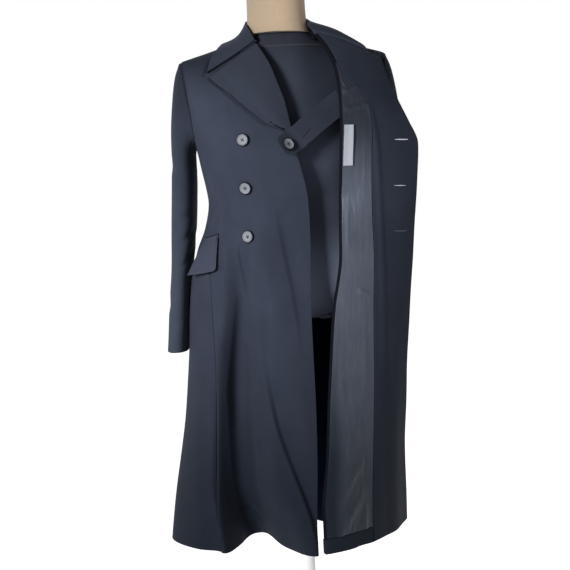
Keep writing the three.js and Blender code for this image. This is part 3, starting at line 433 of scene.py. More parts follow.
SIDE_TO = 0.56
FOLD_REACH = 0.16
WOOL_THICK = 2.2


def ridge_round(x, z):
    """How far the cloth has come forward from the shoulder ridge: 0 on it, 1 at the chest."""
    t = np.clip((read(RIDGE, np.abs(x), "z") - z) / 150, 0, 1)
    return np.sqrt(1 - (1 - t) ** 2)


def section_point(side, reach, at_back, z):
    """A point of a half body's section; reach is 0 at the centre and -1 at the side."""
    rows = SECTIONS[side]
    width, bend, centre = (read(rows, z, column) for column in ("width", "round", "side"))
    depth = np.where(at_back, read(rows, z, "back"), read(rows, z, "front"))
    sine = np.minimum(1, np.abs(reach)) ** (1 / bend)
    cosine = np.sqrt(np.maximum(0, 1 - sine**2)) ** bend
    x = -reach * width * side
    swell = np.where(at_back, depth - centre, -depth - centre)
    y = (centre + swell * cosine) * ridge_round(x, z)
    flutes = 0
    for place, width, deep, top in BACK_FLUTES:
        fall = np.clip((top - z) / (top - HEM_HEIGHT), 0, 1) ** 1.4
        flutes = flutes - deep * fall * bell(np.abs(x) - place, width, width)
    valley = dip(FRONT_VALLEY, x, z) if side < 0 else 0
    return np.stack([x, y + np.where(at_back, flutes, valley), z], -1)


def level_reach(side, along, z):
    """Reach of a column at a height up to the chest."""
    seam = -np.arcsin(np.where(along > 0.5, read(SIDE_SEAMS, z, "back"), read(SIDE_SEAMS, z, "front")))
    flank = -math.pi / 2
    edge = -np.arcsin(side * read(FRONT_EDGE[side], z, "x") / read(SECTIONS[side], z, "width"))
    turn = np.where(
        along >= SIDE_TO,
        mix(seam, 0, (along - SIDE_TO) / (1 - SIDE_TO)),
        np.where(
            along > 0.5,
            mix(flank, seam, (along - 0.5) / (SIDE_TO - 0.5)),
            np.where(
                along > SIDE_FROM,
                mix(seam, flank, (along - SIDE_FROM) / (0.5 - SIDE_FROM)),
                mix(edge, seam, along / SIDE_FROM),
            ),
        ),
    )
    return np.sin(turn)


def body_point(side, along, up):
    """along: 0 front edge, 0.5 side, 1 centre back; up: 0 hem, 1 chest level, 2 top edge."""
    at_back = along > 0.5
    valley = 13 * bell(along - 0.2, 0.1, 0.1) if side < 0 else 0
    hem = HEM_HEIGHT - 20 * smooth((along - 0.45) / 0.4) + valley
    low_z = mix(hem, CHEST_LEVEL, np.minimum(up, 1))
    low = section_point(side, level_reach(side, along, low_z), at_back, low_z)
    reach_top = read(TOP_EDGE[side], along, "reach")
    z_top = read(TOP_EDGE[side], along, "z")
    width = SECTIONS[-1]
    limit = read(RIDGE, np.abs(reach_top * read(width, z_top, "width")), "z")
    t = np.clip(up - 1, 0, 1)
    rise = t * (2 - t)
    z = mix(CHEST_LEVEL, np.minimum(z_top, limit), rise)
    reach = mix(level_reach(side, along, np.full_like(z, CHEST_LEVEL)), reach_top, rise)
    if side > 0:
        first = level_reach(side, np.zeros_like(z), np.full_like(z, CHEST_LEVEL))
        straight = mix(first, TOP_EDGE[1]["reach"][0], rise)
        fold = -read(FRONT_EDGE[1], z, "x") / read(SECTIONS[1], z, "width")
        reach = reach + np.where(along < FOLD_REACH, (fold - straight) * (1 - along / FOLD_REACH), 0)
    ridge = read(RIDGE, np.abs(reach * read(width, z, "width")), "z")
    high = section_point(side, reach, at_back, np.minimum(z, ridge))
    return np.where((up <= 1)[..., None], low, high)


# Finer folds of the skirt and waist, on one face of the body each.
FRONT_FOLDS = {
    -1: [
        crease(
            (690, 15, 0, 12, 34), (772, 9, 2.4, 12, 38), (840, 1, 3.4, 12, 40), (882, -6, 3.6, 12, 38),
            (941, -15, 2.8, 12, 32), (1000, -22, 0, 12, 26),
        ),
        crease(
            (330, 26, 9, 10, 30), (362, 18.5, 10, 9, 36), (388, 12, 10, 8, 42), (470, -15, 9, 8, 52),
            (528, -34, 8, 9, 56), (617, -54, 7, 10, 60), (717, -66, 5.5, 12, 54), (805, -78, 4, 14, 44),
            (880, -92, 0, 16, 30),
        ),
        crease(
            (740, -84, 0, 9, 24), (823, -92.5, 2.2, 8, 22), (861, -97, 3.4, 7, 20), (892, -102, 3.6, 7, 18),
            (916, -104, 2.5, 7, 16), (926, -104, 0, 7, 14),
        ),
        crease(
            (330, -112, 8, 26, 40), (450, -124, 15, 26, 42), (617, -126, 15, 24, 40), (720, -115, 10, 22, 34),
            (840, -102, 0, 18, 28),
        ),
        crease((336, -104, 0, 5, 16), (352, -112, 5, 5, 18), (366, -124, 5, 5, 20), (378, -140, 0, 5, 20)),
        crease((300, -52, -5, 34, 26), (470, -70, -5, 34, 28), (620, -84, -2, 30, 28), (700, -90, 0, 30, 28)),
        crease((300, -196, 7, 26, 30), (450, -196, 6, 24, 30), (640, -186, 3, 20, 26), (760, -180, 0, 18, 22)),
        crease((930, -30, 0, 40, 40), (990, -60, -1.6, 60, 60), (1040, -80, 0, 40, 40)),
        crease((960, -140, 0, 20, 14), (1010, -120, 2.2, 22, 16), (1080, -128, 0, 26, 18)),
    ],
    1: [crease((320, 150, 5, 24, 24), (560, 150, 4, 22, 22), (760, 150, 0, 20, 20))],
}
BACK_FOLDS = [
    crease((281, 128, -7, 36, 30), (480, 126, -5, 34, 28), (720, 118, 0, 26, 24)),
    crease((281, 22, -5, 24, 22), (460, 24, -4, 22, 22), (660, 20, 0, 18, 18)),
    crease((900, 70, 0, 40, 30), (965, 84, 3, 46, 30), (1030, 92, 0, 40, 26)),
    crease((1000, 120, 0, 30, 24), (1080, 130, 2.5, 34, 22), (1170, 150, 0, 30, 20)),
]


# Narrow dips of the right front where the lapel, collar and flap edges press on it.
PRESSED = [
    crease((1150, -16, 0, 5, 9), (1158, -36, 3, 5, 10), (1182, -66, 4, 5, 12), (1220, -107, 4.5, 5, 12),
          (1243, -131, 4.5, 5, 12), (1256, -146, 4, 5, 12), (1266, -154, 0, 5, 12)),
    crease((1262, -163, 0, 4, 9), (1274, -158, 4, 4, 10), (1298, -146, 4, 4, 10), (1326, -123, 2, 4, 10),
          (1334, -117, 0, 4, 9)),
    crease((872, -147, 0, 6, 8), (882, -145, 3.5, 6, 10), (940, -143, 3, 6, 10), (952, -142, 0, 6, 8)),
]


def unevenness(x, z, size=1.0):
    """The slight unevenness of hung cloth, in millimetres, the same at every run."""
    waves = ((0.031, 0.012, 0.4, 1.0), (0.052, -0.019, 1.9, 0.6), (0.014, 0.037, 3.1, 0.8), (-0.043, 0.051, 5.0, 0.35))
    return size * sum(share * np.sin(a * x + b * z + start) for a, b, start, share in waves) / 2


def fine_folds(side, x, at_back, z):
    """How far finer folds move the cloth out from its main form."""
    front = -sum(dip(fold, x, z) for fold in FRONT_FOLDS[side])
    back = -sum(dip(fold, np.abs(x + 9 * side), z) for fold in BACK_FOLDS)
    return np.where(at_back, back, front) + unevenness(x, z + 60 * side, 0.9)


def normals(surface, u, v, span=((0, 1), (0, 1))):
    """Unit normals of a surface by small steps, kept within span."""
    step = 1e-3
    (u0, u1), (v0, v1) = span
    across = surface(np.minimum(u1, u + step), v) - surface(np.maximum(u0, u - step), v)
    along = surface(u, np.minimum(v1, v + step)) - surface(u, np.maximum(v0, v - step))
    return unit(np.cross(across, along))


def measure(points):
    """Distance across and along the cloth for each point, from its middle and foot."""
    steps = np.linalg.norm(np.diff(points, axis=1), axis=-1)
    across = np.concatenate([np.zeros((len(points), 1)), np.cumsum(steps, axis=1)], axis=1)
    across -= across[:, -1:] / 2
    steps = np.linalg.norm(np.diff(points, axis=0), axis=-1)
    along = np.concatenate([np.zeros((1, points.shape[1])), np.cumsum(steps, axis=0)], axis=0)
    return np.stack([across, along], -1) / 1000


def finish_piece(piece, *materials):
    """A finished piece lies at the origin and moves with the part's one body."""
    for material in materials:
        piece.data.materials.append(material)
    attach(piece, "root")
    return piece


def mesh_piece(name, points, faces):
    mesh = bpy.data.meshes.new(name)
    mesh.from_pydata((points.reshape(-1, 3) / 1000).tolist(), [], faces)
    mesh.polygons.foreach_set("use_smooth", [True] * len(faces))
    piece = bpy.data.objects.new(name, mesh)
    scene.collection.objects.link(piece)
    return piece


def grid_mesh(name, points, flip=False):
    """A mesh of one face for each square of a grid of points, with the cloth's measure as UVs."""
    rows, columns = points.shape[:2]
    index = np.arange(rows * columns).reshape(rows, columns)
    corners = [index[:-1, :-1], index[:-1, 1:], index[1:, 1:], index[1:, :-1]]
    if flip:
        corners.reverse()
    faces = np.stack(corners, -1).reshape(-1, 4)
    piece = mesh_piece(name, points, faces.tolist())
    layer = piece.data.uv_layers.new(name="UVMap")
    layer.data.foreach_set("uv", measure(points).reshape(-1, 2)[faces.ravel()].ravel())
    return piece


def apply_modifiers(piece):
    bpy.context.view_layer.objects.active = piece
    for modifier in list(piece.modifiers):
        bpy.ops.object.modifier_apply(modifier=modifier.name)


def round_edges(piece, width, segments, angle):
    rounding = piece.modifiers.new("rounding", "BEVEL")
    rounding.width = width
    rounding.segments = segments
    rounding.limit_method = "ANGLE"
    rounding.angle_limit = math.radians(angle)
    apply_modifiers(piece)


def smooth_by_angle(piece, angle):
    piece.select_set(True)
    bpy.context.view_layer.objects.active = piece
    bpy.ops.object.shade_smooth_by_angle(angle=math.radians(angle))
    bpy.ops.object.select_all(action="DESELECT")


MM = 0.001
CLOTH_ROUNDING = 0.8 * MM      # at most, and never more than this share of the thickness:
CLOTH_ROUNDING_SHARE = 0.42 * MM


def thicken(piece, thick):
    """Gives a sheet its cloth's thickness, inwards, with softly rounded edges."""
    wall = piece.modifiers.new("wall", "SOLIDIFY")
    wall.thickness = thick / 1000
    wall.offset = -1
    wall.material_offset = len(piece.data.materials) - 1
    round_edges(piece, min(CLOTH_ROUNDING, thick * CLOTH_ROUNDING_SHARE), 2, 55)


# The flat size of each cloth and the length of each cord, printed at the end.
CUTS = {}


def cloth(name, points, thick, material, node, flip=False, inner=None):
    """A sheet of cloth on a grid of points, declared with the flat size that it was cut to."""
    piece = grid_mesh(name, points, flip)
    size = measure(points) * 1000
    wide = float(np.ptp(size[..., 0], axis=1).max())
    long = float(size[-1, :, 1].max())
    edges = [points[:-1, 1:] - points[:-1, :-1], points[1:, :-1] - points[:-1, :-1]]
    area = float(np.linalg.norm(np.cross(*edges), axis=-1).sum())
    for each in (material, inner):
        if each:
            piece.data.materials.append(each)
    thicken(piece, thick)
    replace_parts(finish_piece(piece), *node.split())
    CUTS[name] = (round(wide), round(long), round(area / 1e4) / 100)


def cord(name, line, radius, material=PAINTED_DARK_SHADE):
    """A thin round cord along a line of points; by default near-black, as a painted shade line."""
    way = unit(np.gradient(line, axis=0))
    across = unit(np.cross(way, (0.31, 0.9, 0.3)))
    over = np.cross(way, across)
    turn = np.linspace(0, 2 * math.pi, 9)[None, :, None]
    points = line[:, None] + radius * (across[:, None] * np.cos(turn) + over[:, None] * np.sin(turn))
    piece = grid_mesh(name, points)
    finish_piece(piece, material)
    CUTS[name] = round(float(np.linalg.norm(np.diff(line, axis=0), axis=-1).sum()))


def shaped_body(side, along, up):
    """A half body's surface with its finer folds."""
    surface = functools.partial(body_point, side)
    point = surface(along, up)
    normal = normals(surface, along, up, ((0, 1), (0, 2))) * side
    normal[along == 1] *= (0, 1, 1)
    calm = 1 - smooth((up - 1.55) / 0.3)
    seams = sum(-3.6 * bell(along - seam, 0.008, 0.008) for seam in (SIDE_FROM, SIDE_TO))
    x, z = point[..., 0], point[..., 2]
    lift = fine_folds(side, x, along > 0.5, z) * calm + seams * (up < 1.9)
    if side < 0:
        for line in PRESSED:
            lift = lift - dip(line, x, z) * (along < 0.5)
    return point + normal * lift[..., None]


BODY_ROWS = steps((0, 1, 178), (1, 2, 58))


def body_panel(name, node, side, columns, rows=BODY_ROWS):
    along, up = np.meshgrid(columns, rows)
    cloth(name, shaped_body(side, along, up), WOOL_THICK, SHADED_BODY_WOOL, node, flip=side < 0, inner=PAINTED_INSIDE_SHADE)


front_columns = steps((0, 0.3, 110), (0.3, SIDE_FROM, 34))
body_panel("coat_front_right", "front_right", -1, front_columns, steps((0, 1, 200), (1, 2, 84)))
body_panel("coat_side_right", "side_right", -1, np.linspace(SIDE_FROM, SIDE_TO, 48))
body_panel("coat_back_right", "back_right", -1, np.linspace(SIDE_TO, 1, 60))
body_panel("coat_back_left", "back_left", 1, np.linspace(SIDE_TO, 1, 60))
body_panel("coat_side_left", "side_left", 1, np.linspace(SIDE_FROM, SIDE_TO, 32))

# The shade in the side seams' grooves.
low_to_high = np.linspace(0.004, 1.7, 200)
for side, word in SIDES:
    for place, face in ((SIDE_FROM, "front"), (SIDE_TO, "back")):
        grooves = shaped_body(side, np.full((200, 1), place), low_to_high[:, None])[:, 0]
        cord(f"seam_{word}_{face}", grooves, 0.9)

# ------------------------------------------------------------------ turned-back left front
# The left front folds back on itself and shows its inside: wool facing along the edge,
# satin lining beside it, and the turned-up hem below the lining.
TURN_BACK = table(
    "z midX midY midDrop edgeX edgeY edgeDrop",
    (281, 142, -96, 0, 219, 44, 0),
    (402, 145, -103, 0, 217, 12, 0),
    (490, 150, -106, 0, 216, -10, 0),
    (576, 154, -110, 0, 220, -30, 0),
    (681, 160, -116, 0, 225, -52, 0),
    (795, 168, -122, 0, 235, -68, 0),
    (878, 176, -124, 0, 242, -78, 0),
    (948, 180, -122, 0, 248, -85, 0),
    (1036, 186, -121, 0, 256, -90, 0),
    (1112, 189, -121, 0, 262, -88, 0),
    (1160, 184, -118, 3, 245, -86, 5),
    (1215, 172, -112, 6, 222, -78, 9),
    (1275, 156, -92, 12, 204, -66, 20),
    (1313, 148, -66, 14, 201, -50, 38),
    (1345, 136, -40, 26, 197, -36, 58),
)
FACING_SEAM = table(
    "z share", (281, 0.45), (622, 0.46), (802, 0.42), (975, 0.37), (1077, 0.35), (1141, 0.37), (1179, 0.39),
    (1204, 0.37), (1223, 0.31), (1236, 0.14), (1252, 0.07), (1279, 0.012), (1345, 0.0),
)
SEAM_COLUMN = 0.4              # the facing's seam, across the turned-back cloth
FOLD_TURN = 4                  # half the room inside the fold
LINING_EDGE = 335
FACING_THICK = 1.5
SATIN_THICK = 1.0


def turn_back_point(t, fold_z):
    top = body_point(1, np.zeros(1), np.full(1, 2.0))[0, 2]
    above = np.clip((fold_z - CHEST_LEVEL) / (top - CHEST_LEVEL), 0, 1)
    up = np.where(
        fold_z <= CHEST_LEVEL, (fold_z - HEM_HEIGHT) / (CHEST_LEVEL - HEM_HEIGHT), 2 - np.sqrt(1 - above)
    )
    fold = body_point(1, np.zeros_like(up), up) + (0, -2 * FOLD_TURN, 0)
    row = {column: read(TURN_BACK, fold_z, column) for column in TURN_BACK if column != "z"}
    middle = np.stack([row["midX"], row["midY"], fold_z - row["midDrop"]], -1)
    edge = np.stack([row["edgeX"], row["edgeY"], fold_z - row["edgeDrop"]], -1)
    t = t[..., None]
    control = 2 * middle - (fold + edge) / 2
    return fold * (1 - t) ** 2 + control * 2 * t * (1 - t) + edge * t * t


def front_left_point(across, up, lining=False):
    """across: 0 side seam, 1 fold, 1 to 2 round the fold, 2 to 3 over the turned-back cloth,
    where column 2.4 follows the lining's seam if lining is set."""
    worn = body_point(1, SIDE_FROM * (1 - np.minimum(across, 1)), up)
    turn = (np.clip(across, 1, 2) - 1) * math.pi
    worn[..., 0] -= FOLD_TURN * np.sin(turn)
    worn[..., 1] -= FOLD_TURN * (1 - np.cos(turn))
    fold_z = body_point(1, np.zeros_like(up), up)[..., 2]
    column = np.clip(across - 2, 0, 1)
    seam = read(FACING_SEAM, fold_z, "share") if lining else SEAM_COLUMN
    share = np.where(
        column < SEAM_COLUMN,
        seam * column / SEAM_COLUMN,
        mix(seam, 1, (column - SEAM_COLUMN) / (1 - SEAM_COLUMN)),
    )
    return np.where((across >= 2)[..., None], turn_back_point(share, fold_z), worn)


TURNED_FOLDS = [
    # The facing's soft ridge beside the lining, then long soft waves down to the hem.
    crease((300, 150, 0, 14, 14), (700, 172, 1.2, 12, 12), (1000, 177.7, 2.4, 9, 10), (1130, 174, 2.4, 9, 10),
          (1220, 160, 0, 8, 8)),
    crease((300, 186, 4, 26, 24), (460, 188, 3, 24, 22), (660, 196, 1.5, 20, 20), (860, 206, 0, 20, 20)),
    crease((300, 110, -4, 24, 26), (460, 122, -3, 20, 26), (640, 130, 0, 20, 22)),
]


def turned_front(across, up, lift, creases=None, lining=False):
    """The left front's inner side, lift millimetres off its outer side."""
    point = front_left_point(across, up, lining)
    # Normals are taken a little inside the seam's end, where its columns close up.
    normal = normals(front_left_point, across, up, ((-0.1, 3), (0, 2)))
    x, z = point[..., 0], point[..., 2]
    soft = sum(dip(fold, x, z) for fold in TURNED_FOLDS)
    soft = (soft + unevenness(x, z, 0.7)) * smooth((across - 1.9) / 0.3) * (1 - smooth((up - 1.5) / 0.3))
    if creases is not None:
        soft = soft + np.maximum(creases(across - 2, z), -0.1)
    return point + normal * (lift + soft)[..., None]


worn_columns = [np.linspace(0, 0.97, 44), np.linspace(1, 2, 9)]
across, up = np.meshgrid(np.concatenate([*worn_columns, steps((2.03, 2.4, 18), (2.4, 3, 44))]), BODY_ROWS)
cloth("coat_front_left", turned_front(across, up, 0), WOOL_THICK, WOOL, "front_left", flip=True, inner=PAINTED_DARK_SHADE)

INSIDE = WOOL_THICK + 0.15
HEM_FOOT = (LINING_EDGE - HEM_HEIGHT) / (CHEST_LEVEL - HEM_HEIGHT)
# Painted shade: a darker copy of the wool for the turned-back facing and hem band, darker still toward the hem.
SHADED_FACING_WOOL = wool_finish("facing_wool", (0.0072, 0.0086, 0.0132), (0.0168, 0.0188, 0.0274), ((0.34, 0.6, 0.8, 1.0),))
FACING_TOP = 1.995
LINING_TOP = 1.46              # the lining ends in a point at the fold
HEM_TO_CHEST = (HEM_FOOT, 1, 190)


def laid(name, node, columns, rows, thick, material, creases=None, lift=0.0):
    across, up = np.meshgrid(2 + np.asarray(columns), rows)
    points = turned_front(across, up, INSIDE + thick + lift, creases, lining=True)
    cloth(name, points, thick, material, node)


laid("facing_wool", "facing_left", np.linspace(SEAM_COLUMN + 0.004, 1, 44),
     steps((0.003, HEM_FOOT, 14), HEM_TO_CHEST, (1, FACING_TOP, 70)), FACING_THICK, SHADED_FACING_WOOL)
laid("hem_band", "hem_left", np.linspace(-0.5, SEAM_COLUMN - 0.004, 30), np.linspace(0.003, HEM_FOOT - 0.002, 14),
     FACING_THICK, SHADED_FACING_WOOL)

# Satin lining, slack across the strip: two small tucks under the shoulder, a pucker
# below the waist, long upright wrinkles and slanting ones near the foot.
SATIN = Finish("satin_lining", specular_ior_level=0.2, specular_tint=(0.6, 0.78, 1.0, 1))
place, satin_x, satin_y = SATIN.uv()
cloudy = SATIN.noise(place, 14, 4, 0.6)
threads = SATIN.noise(SATIN.stretch(place, 900, 60), 1.0, 3)
ripples = SATIN.noise(SATIN.stretch(place, 55, 12), 1.0, 4, 0.6)
satin_colour = SATIN.between(cloudy * 0.7 + threads * 0.4 - 0.05, (0.024, 0.027, 0.037), (0.050, 0.055, 0.071))
# Painted shade: the satin darker toward its top and toward its foot.
satin_colour = SATIN.fade(satin_colour, SATIN.height(), (1.02, 1.0, 1.17, 0.36), (0.4, 0.46, 0.66, 1.0))
# Toward the foot the satin is crumpled, with painted shade beside the fold.
foot = SATIN.ramp(satin_y, 0.02, 1.0, 0.36, 0.0)
wrinkled = SATIN.noise(SATIN.stretch(place, 34, 9, turn=0.4), 1.0, 4, 0.5)
fold_shade = SATIN.ramp(satin_x, -0.046, 1.0, -0.016, 0.0) * SATIN.ramp(satin_y, 0.05, 0.9, 0.5, 0.0)
satin_colour = SATIN.between(fold_shade, satin_colour, (0.0012, 0.002, 0.005))
SATIN.feed("Base Color", satin_colour)
SATIN.feed("Roughness", threads * 0.16 + 0.36)
SATIN.bump(ripples * 3.0 + threads * 0.12 + wrinkled * foot * 9.0, 0.6, 0.0012)

# Each tuck: its height, how far it stands out, and the widths of its two slopes.
LINING_TUCKS = ((1221, 3.2, 7, 3), (1186, 3.0, 8, 4), (1204, -2.0, 12, 10), (833, -4, 14, 9))
UPRIGHTS = table(
    "z one two three", (335, 0.10, 0.22, 0.33), (420, 0.12, 0.25, 0.34), (560, 0.10, 0.21, 0.31),
    (700, 0.08, 0.2, 0.3), (900, 0.07, 0.18, 0.29), (1100, 0.1, 0.2, 0.3), (1250, 0.1, 0.2, 0.3),
)


def lining_creases(column, z):
    tucks = sum(
        high * bell(z - level - 24 * (column - 0.2), below, above) * smooth(column / 0.06)
        for level, high, below, above in LINING_TUCKS
    )
    strength = mix(0.7, 2.6, smooth((760 - z) / 300))
    upright = strength * (
        np.sin(0.021 * z + 0.6) * bell(column - read(UPRIGHTS, z, "one"), 0.05, 0.045)
        - bell(column - read(UPRIGHTS, z, "two"), 0.06, 0.05)
        + np.sin(0.017 * z + 2.2) * bell(column - read(UPRIGHTS, z, "three"), 0.045, 0.04)
    )
    waves = 0.5 + 0.5 * np.sin(0.085 * z - 26 * column)
    slant = 4.2 * smooth((600 - z) / 140) * waves * bell(column - 0.22, 0.2, 0.17)
    pucker = 3.4 * bell(z - 826 + 75 * (column - 0.2), 7, 9) * bell(column - 0.24, 0.16, 0.14)
    return tucks + upright + slant + pucker


lining_columns = np.linspace(-0.02, SEAM_COLUMN - 0.004, 60)
lining_rows = steps(HEM_TO_CHEST, (1, LINING_TOP, 40))
laid("lining_satin", "lining_left", lining_columns, lining_rows, SATIN_THICK, SATIN.material, lining_creases)

# Care label, a small bare woven tape sewn to the lining at its inner edge.
LABEL_FOOT = 1072
LABEL_THICK = 0.5
LABEL = Finish("label_tape", roughness=0.75)
place, _, length = LABEL.uv()
weft = (length * (2 * math.pi / 0.0009)).wave()
LABEL.feed("Base Color", LABEL.between(LABEL.noise(place, 120, 3), (0.14, 0.15, 0.17), (0.19, 0.20, 0.225)))
LABEL.bump(weft + LABEL.noise(place, 800, 2), 0.25, 0.0002)


def label_curl(column, z):
    return 2.6 * smooth((column - 0.04) / 0.12) + 1.2 * bell(z - 1125, 40, 40)


label_rows = steps(((LABEL_FOOT - HEM_HEIGHT) / (CHEST_LEVEL - HEM_HEIGHT), 1, 10), (1, 1.11, 14))
laid("label_blank", "label_care", np.linspace(0.005, 0.13, 14), label_rows, LABEL_THICK, LABEL.material, label_curl,
     lift=2.6)

# ------------------------------------------------------------------ sleeves
# Two-piece wool sleeves, a top and an under piece each, set into the armholes with a
# little fullness at the head. The left one hangs behind the turned-back front.
ARMS = {
    -1: table(
        "z outer inner front back", (704, -273, -229, -46, 72), (780, -266, -222, -45, 77),
        (860, -258, -213, -43, 82), (950, -251, -199, -46, 85), (1030, -245, -192, -52, 86),
        (1108, -239, -190.5, -60, 82),
    ),
    1: table(
        "z outer inner front back", (704, 234, 190, 44, 160), (780, 235, 194, 32, 152),
        (860, 238, 199, 10, 134), (950, 240, 197, -18, 112), (1030, 242, 192, -44, 94),
        (1108, 242, 190.5, -60, 82),
    ),
}
ARM_TOP = 1108
ARM_BULGE = 19
ARM_SEAM = {-1: 0.36, 1: 0.27}
SHOULDER_POINT = 0.32


def arm_section(side, ring, z):
    turn = ring * 2 * math.pi
    rows = ARMS[side]

    def square(value):
        return 0.5 + 0.5 * np.sign(value) * np.abs(value) ** 0.85

    x = mix(read(rows, z, "inner"), read(rows, z, "outer"), square(np.cos(turn)))
    y = mix(read(rows, z, "back"), read(rows, z, "front"), square(np.sin(turn)))
    return np.stack([x, y, z], -1)


def sleeve_point(side, ring, up):
    """ring: round the arm from its outermost line over the front; up: 0 cuff, 2 armhole."""
    low = arm_section(side, ring, mix(ARMS[side]["z"][0], ARM_TOP, np.minimum(up, 1)))
    t = np.clip(up - 1, 0, 1)[..., None]
    start = arm_section(side, ring, np.full_like(ring, ARM_TOP))
    turn = ring - np.floor(ring)
    along = mix(SHOULDER_POINT, 0.5, 1 - np.abs(1 - 2 * turn))
    end = body_point(side, np.where(turn <= 0.5, along, 1 - along), np.full_like(ring, 2.0))
    end[..., 0] += side * 0.36
    outer = 0.5 + 0.5 * np.cos(ring * 2 * math.pi)
    climb = (end[..., 2] - start[..., 2]) * 0.55
    none = np.zeros_like(climb)
    first = start + np.stack([none, none, climb], -1)
    second = end + np.stack([side * mix(1.5, ARM_BULGE, outer), none, -climb * 0.12], -1)
    high = start * (1 - t) ** 3 + first * 3 * t * (1 - t) ** 2 + second * 3 * t * t * (1 - t) + end * t**3
    return np.where((up <= 1)[..., None], low, high)


# Soft folds across the bend of the arm: ring, height, depth, half width and slant.
ARM_FOLDS = (
    (0.36, 948, 3.4, 13, 120), (0.40, 905, 2.6, 11, 160), (0.30, 985, 2.2, 14, 90), (0.05, 800, 2.0, 20, 60),
    (0.12, 1080, 2.4, 18, -110), (0.62, 930, 3.0, 14, -120), (0.70, 1010, 2.4, 15, -90), (0.22, 760, 1.6, 14, 80),
)


def shaped_sleeve(side, ring, up):
    surface = functools.partial(sleeve_point, side)
    point = surface(ring, up)
    normal = -normals(surface, ring, up, ((-1, 2), (0, 2))) * side
    turn = ring - np.floor(ring)
    z = point[..., 2]
    lift = unevenness(360 * turn, z, 0.8) * (1 - smooth((up - 1.5) / 0.4))
    for place, level, deep, width, slant in ARM_FOLDS:
        away = np.abs((turn - place + 0.5) % 1 - 0.5)
        line = z - level - slant * ((turn - place + 0.5) % 1 - 0.5)
        lift = lift - deep * bell(line, width, width * 1.6) * bell(away, 0.2, 0.2)
    seam = bell(np.minimum(np.abs(turn - ARM_SEAM[side]), np.abs(turn - 1 + ARM_SEAM[side])), 0.012, 0.012)
    head = 1.6 * bell(up - 1.93, 0.12, 0.06) * np.cos(np.pi * turn) ** 2
    return point + normal * (lift - 1.0 * seam * (up < 1.95) + head)[..., None]


arm_rows = steps((0, 1, 110), (1, 2, 60))
for side, word in SIDES:
    seam = ARM_SEAM[side]
    for part, first, last, count in (("top", -seam, seam, 64), ("under", seam, 1 - seam, 40)):
        ring, up = np.meshgrid(np.linspace(first, last, count), arm_rows)
        points = shaped_sleeve(side, ring, up)
        cloth(f"sleeve_{word}_{part}_cloth", points, WOOL_THICK, LIT_SLEEVE_WOOL, f"sleeve_{word}_{part}",
              flip=side > 0, inner=PAINTED_INSIDE_SHADE)

# ------------------------------------------------------------------ lapel and collar
# The right front's lapel rolls back from the coat's edge, and the collar turns down over
# its stand round the neck; on the left it lies open over the shoulder. Both are two
# cloths thick, pressed at the edge, and meet at the notch.
LAPEL = table(
    "up rollX rollZ outerX outerZ", (0, 9, 1151, 0, 1143), (0.14, 5, 1168, -33, 1158), (0.34, -3, 1206, -65, 1184),
    (0.56, -15, 1242, -105, 1222), (0.76, -27, 1277, -129, 1242), (1, -50, 1321, -147, 1260),
)
LAPEL_THICK = 3.2


def lapel_point(across, up):
    x = mix(read(LAPEL, up, "rollX"), read(LAPEL, up, "outerX"), across)
    z = mix(read(LAPEL, up, "rollZ"), read(LAPEL, up, "outerZ"), across)
    point = section_point(-1, x / read(SECTIONS[-1], z, "width"), np.zeros_like(x, bool), z)
    begun = np.clip(up / 0.14, 0, 1)
    clear = mix(0.35, 2.6, begun)
    point[..., 1] -= clear + 5 * begun * np.sin(np.pi * np.minimum(1, across * 1.25) * 0.8)
    return point


def shaped_lapel(across, up):
    """The lapel's outer face; below 0 across it turns under along the roll line."""
    flat = np.maximum(across, 0)
    point = lapel_point(flat, up)
    normal = -normals(lapel_point, flat, up)
    turn = np.clip(-across, 0, 1) * math.pi / 2
    radius = 2.6 * np.clip(up / 0.2, 0.25, 1)
    inward = unit(lapel_point(np.zeros_like(up), up) - lapel_point(np.full_like(up, 0.1), up))
    lift = LAPEL_THICK + 0.5 * unevenness(point[..., 0] * 1.5, point[..., 2] * 1.5)
    lift = lift - radius * (1 - np.cos(turn))
    return point + normal * lift[..., None] + inward * (radius * np.sin(turn))[..., None]


across, up = np.meshgrid(steps((-1, 0, 7), (0, 1, 60)), np.linspace(0, 1, 90))
cloth("lapel_right_cloth", shaped_lapel(across, up), LAPEL_THICK, WOOL, "lapel_right",
      flip=True, inner=PAINTED_DARK_SHADE)


def under_edge(name, surface, u, v, step, out, down, radius=1.5, span=((0, 1), (0, 1))):
    """A near-black cord along a cloth's edge at u, v, as a painted shade line: out past the edge and down below its
    face.
    """
    at = surface(u, v)
    away = unit(at - surface(u - step[0], v - step[1]))
    cord(name, at + away * out - normals(surface, u, v, span) * down, radius)


# Painted shade lines: dark cords along the lapel's outer edge and its gorge.
rise = np.linspace(0.02, 1, 100)
taper = (0.8 + 0.7 * rise)[:, None]
under_edge("lapel_under_edge", lapel_point, rise * 0 + 1, rise, (0.02, 0), 0.5, 2.7 - taper, taper[..., None])
run = np.linspace(0.25, 1, 60)
under_edge("gorge_under_edge", lapel_point, run, run * 0 + 1, (0, 0.02), 1.2, 0.5, 1.6)

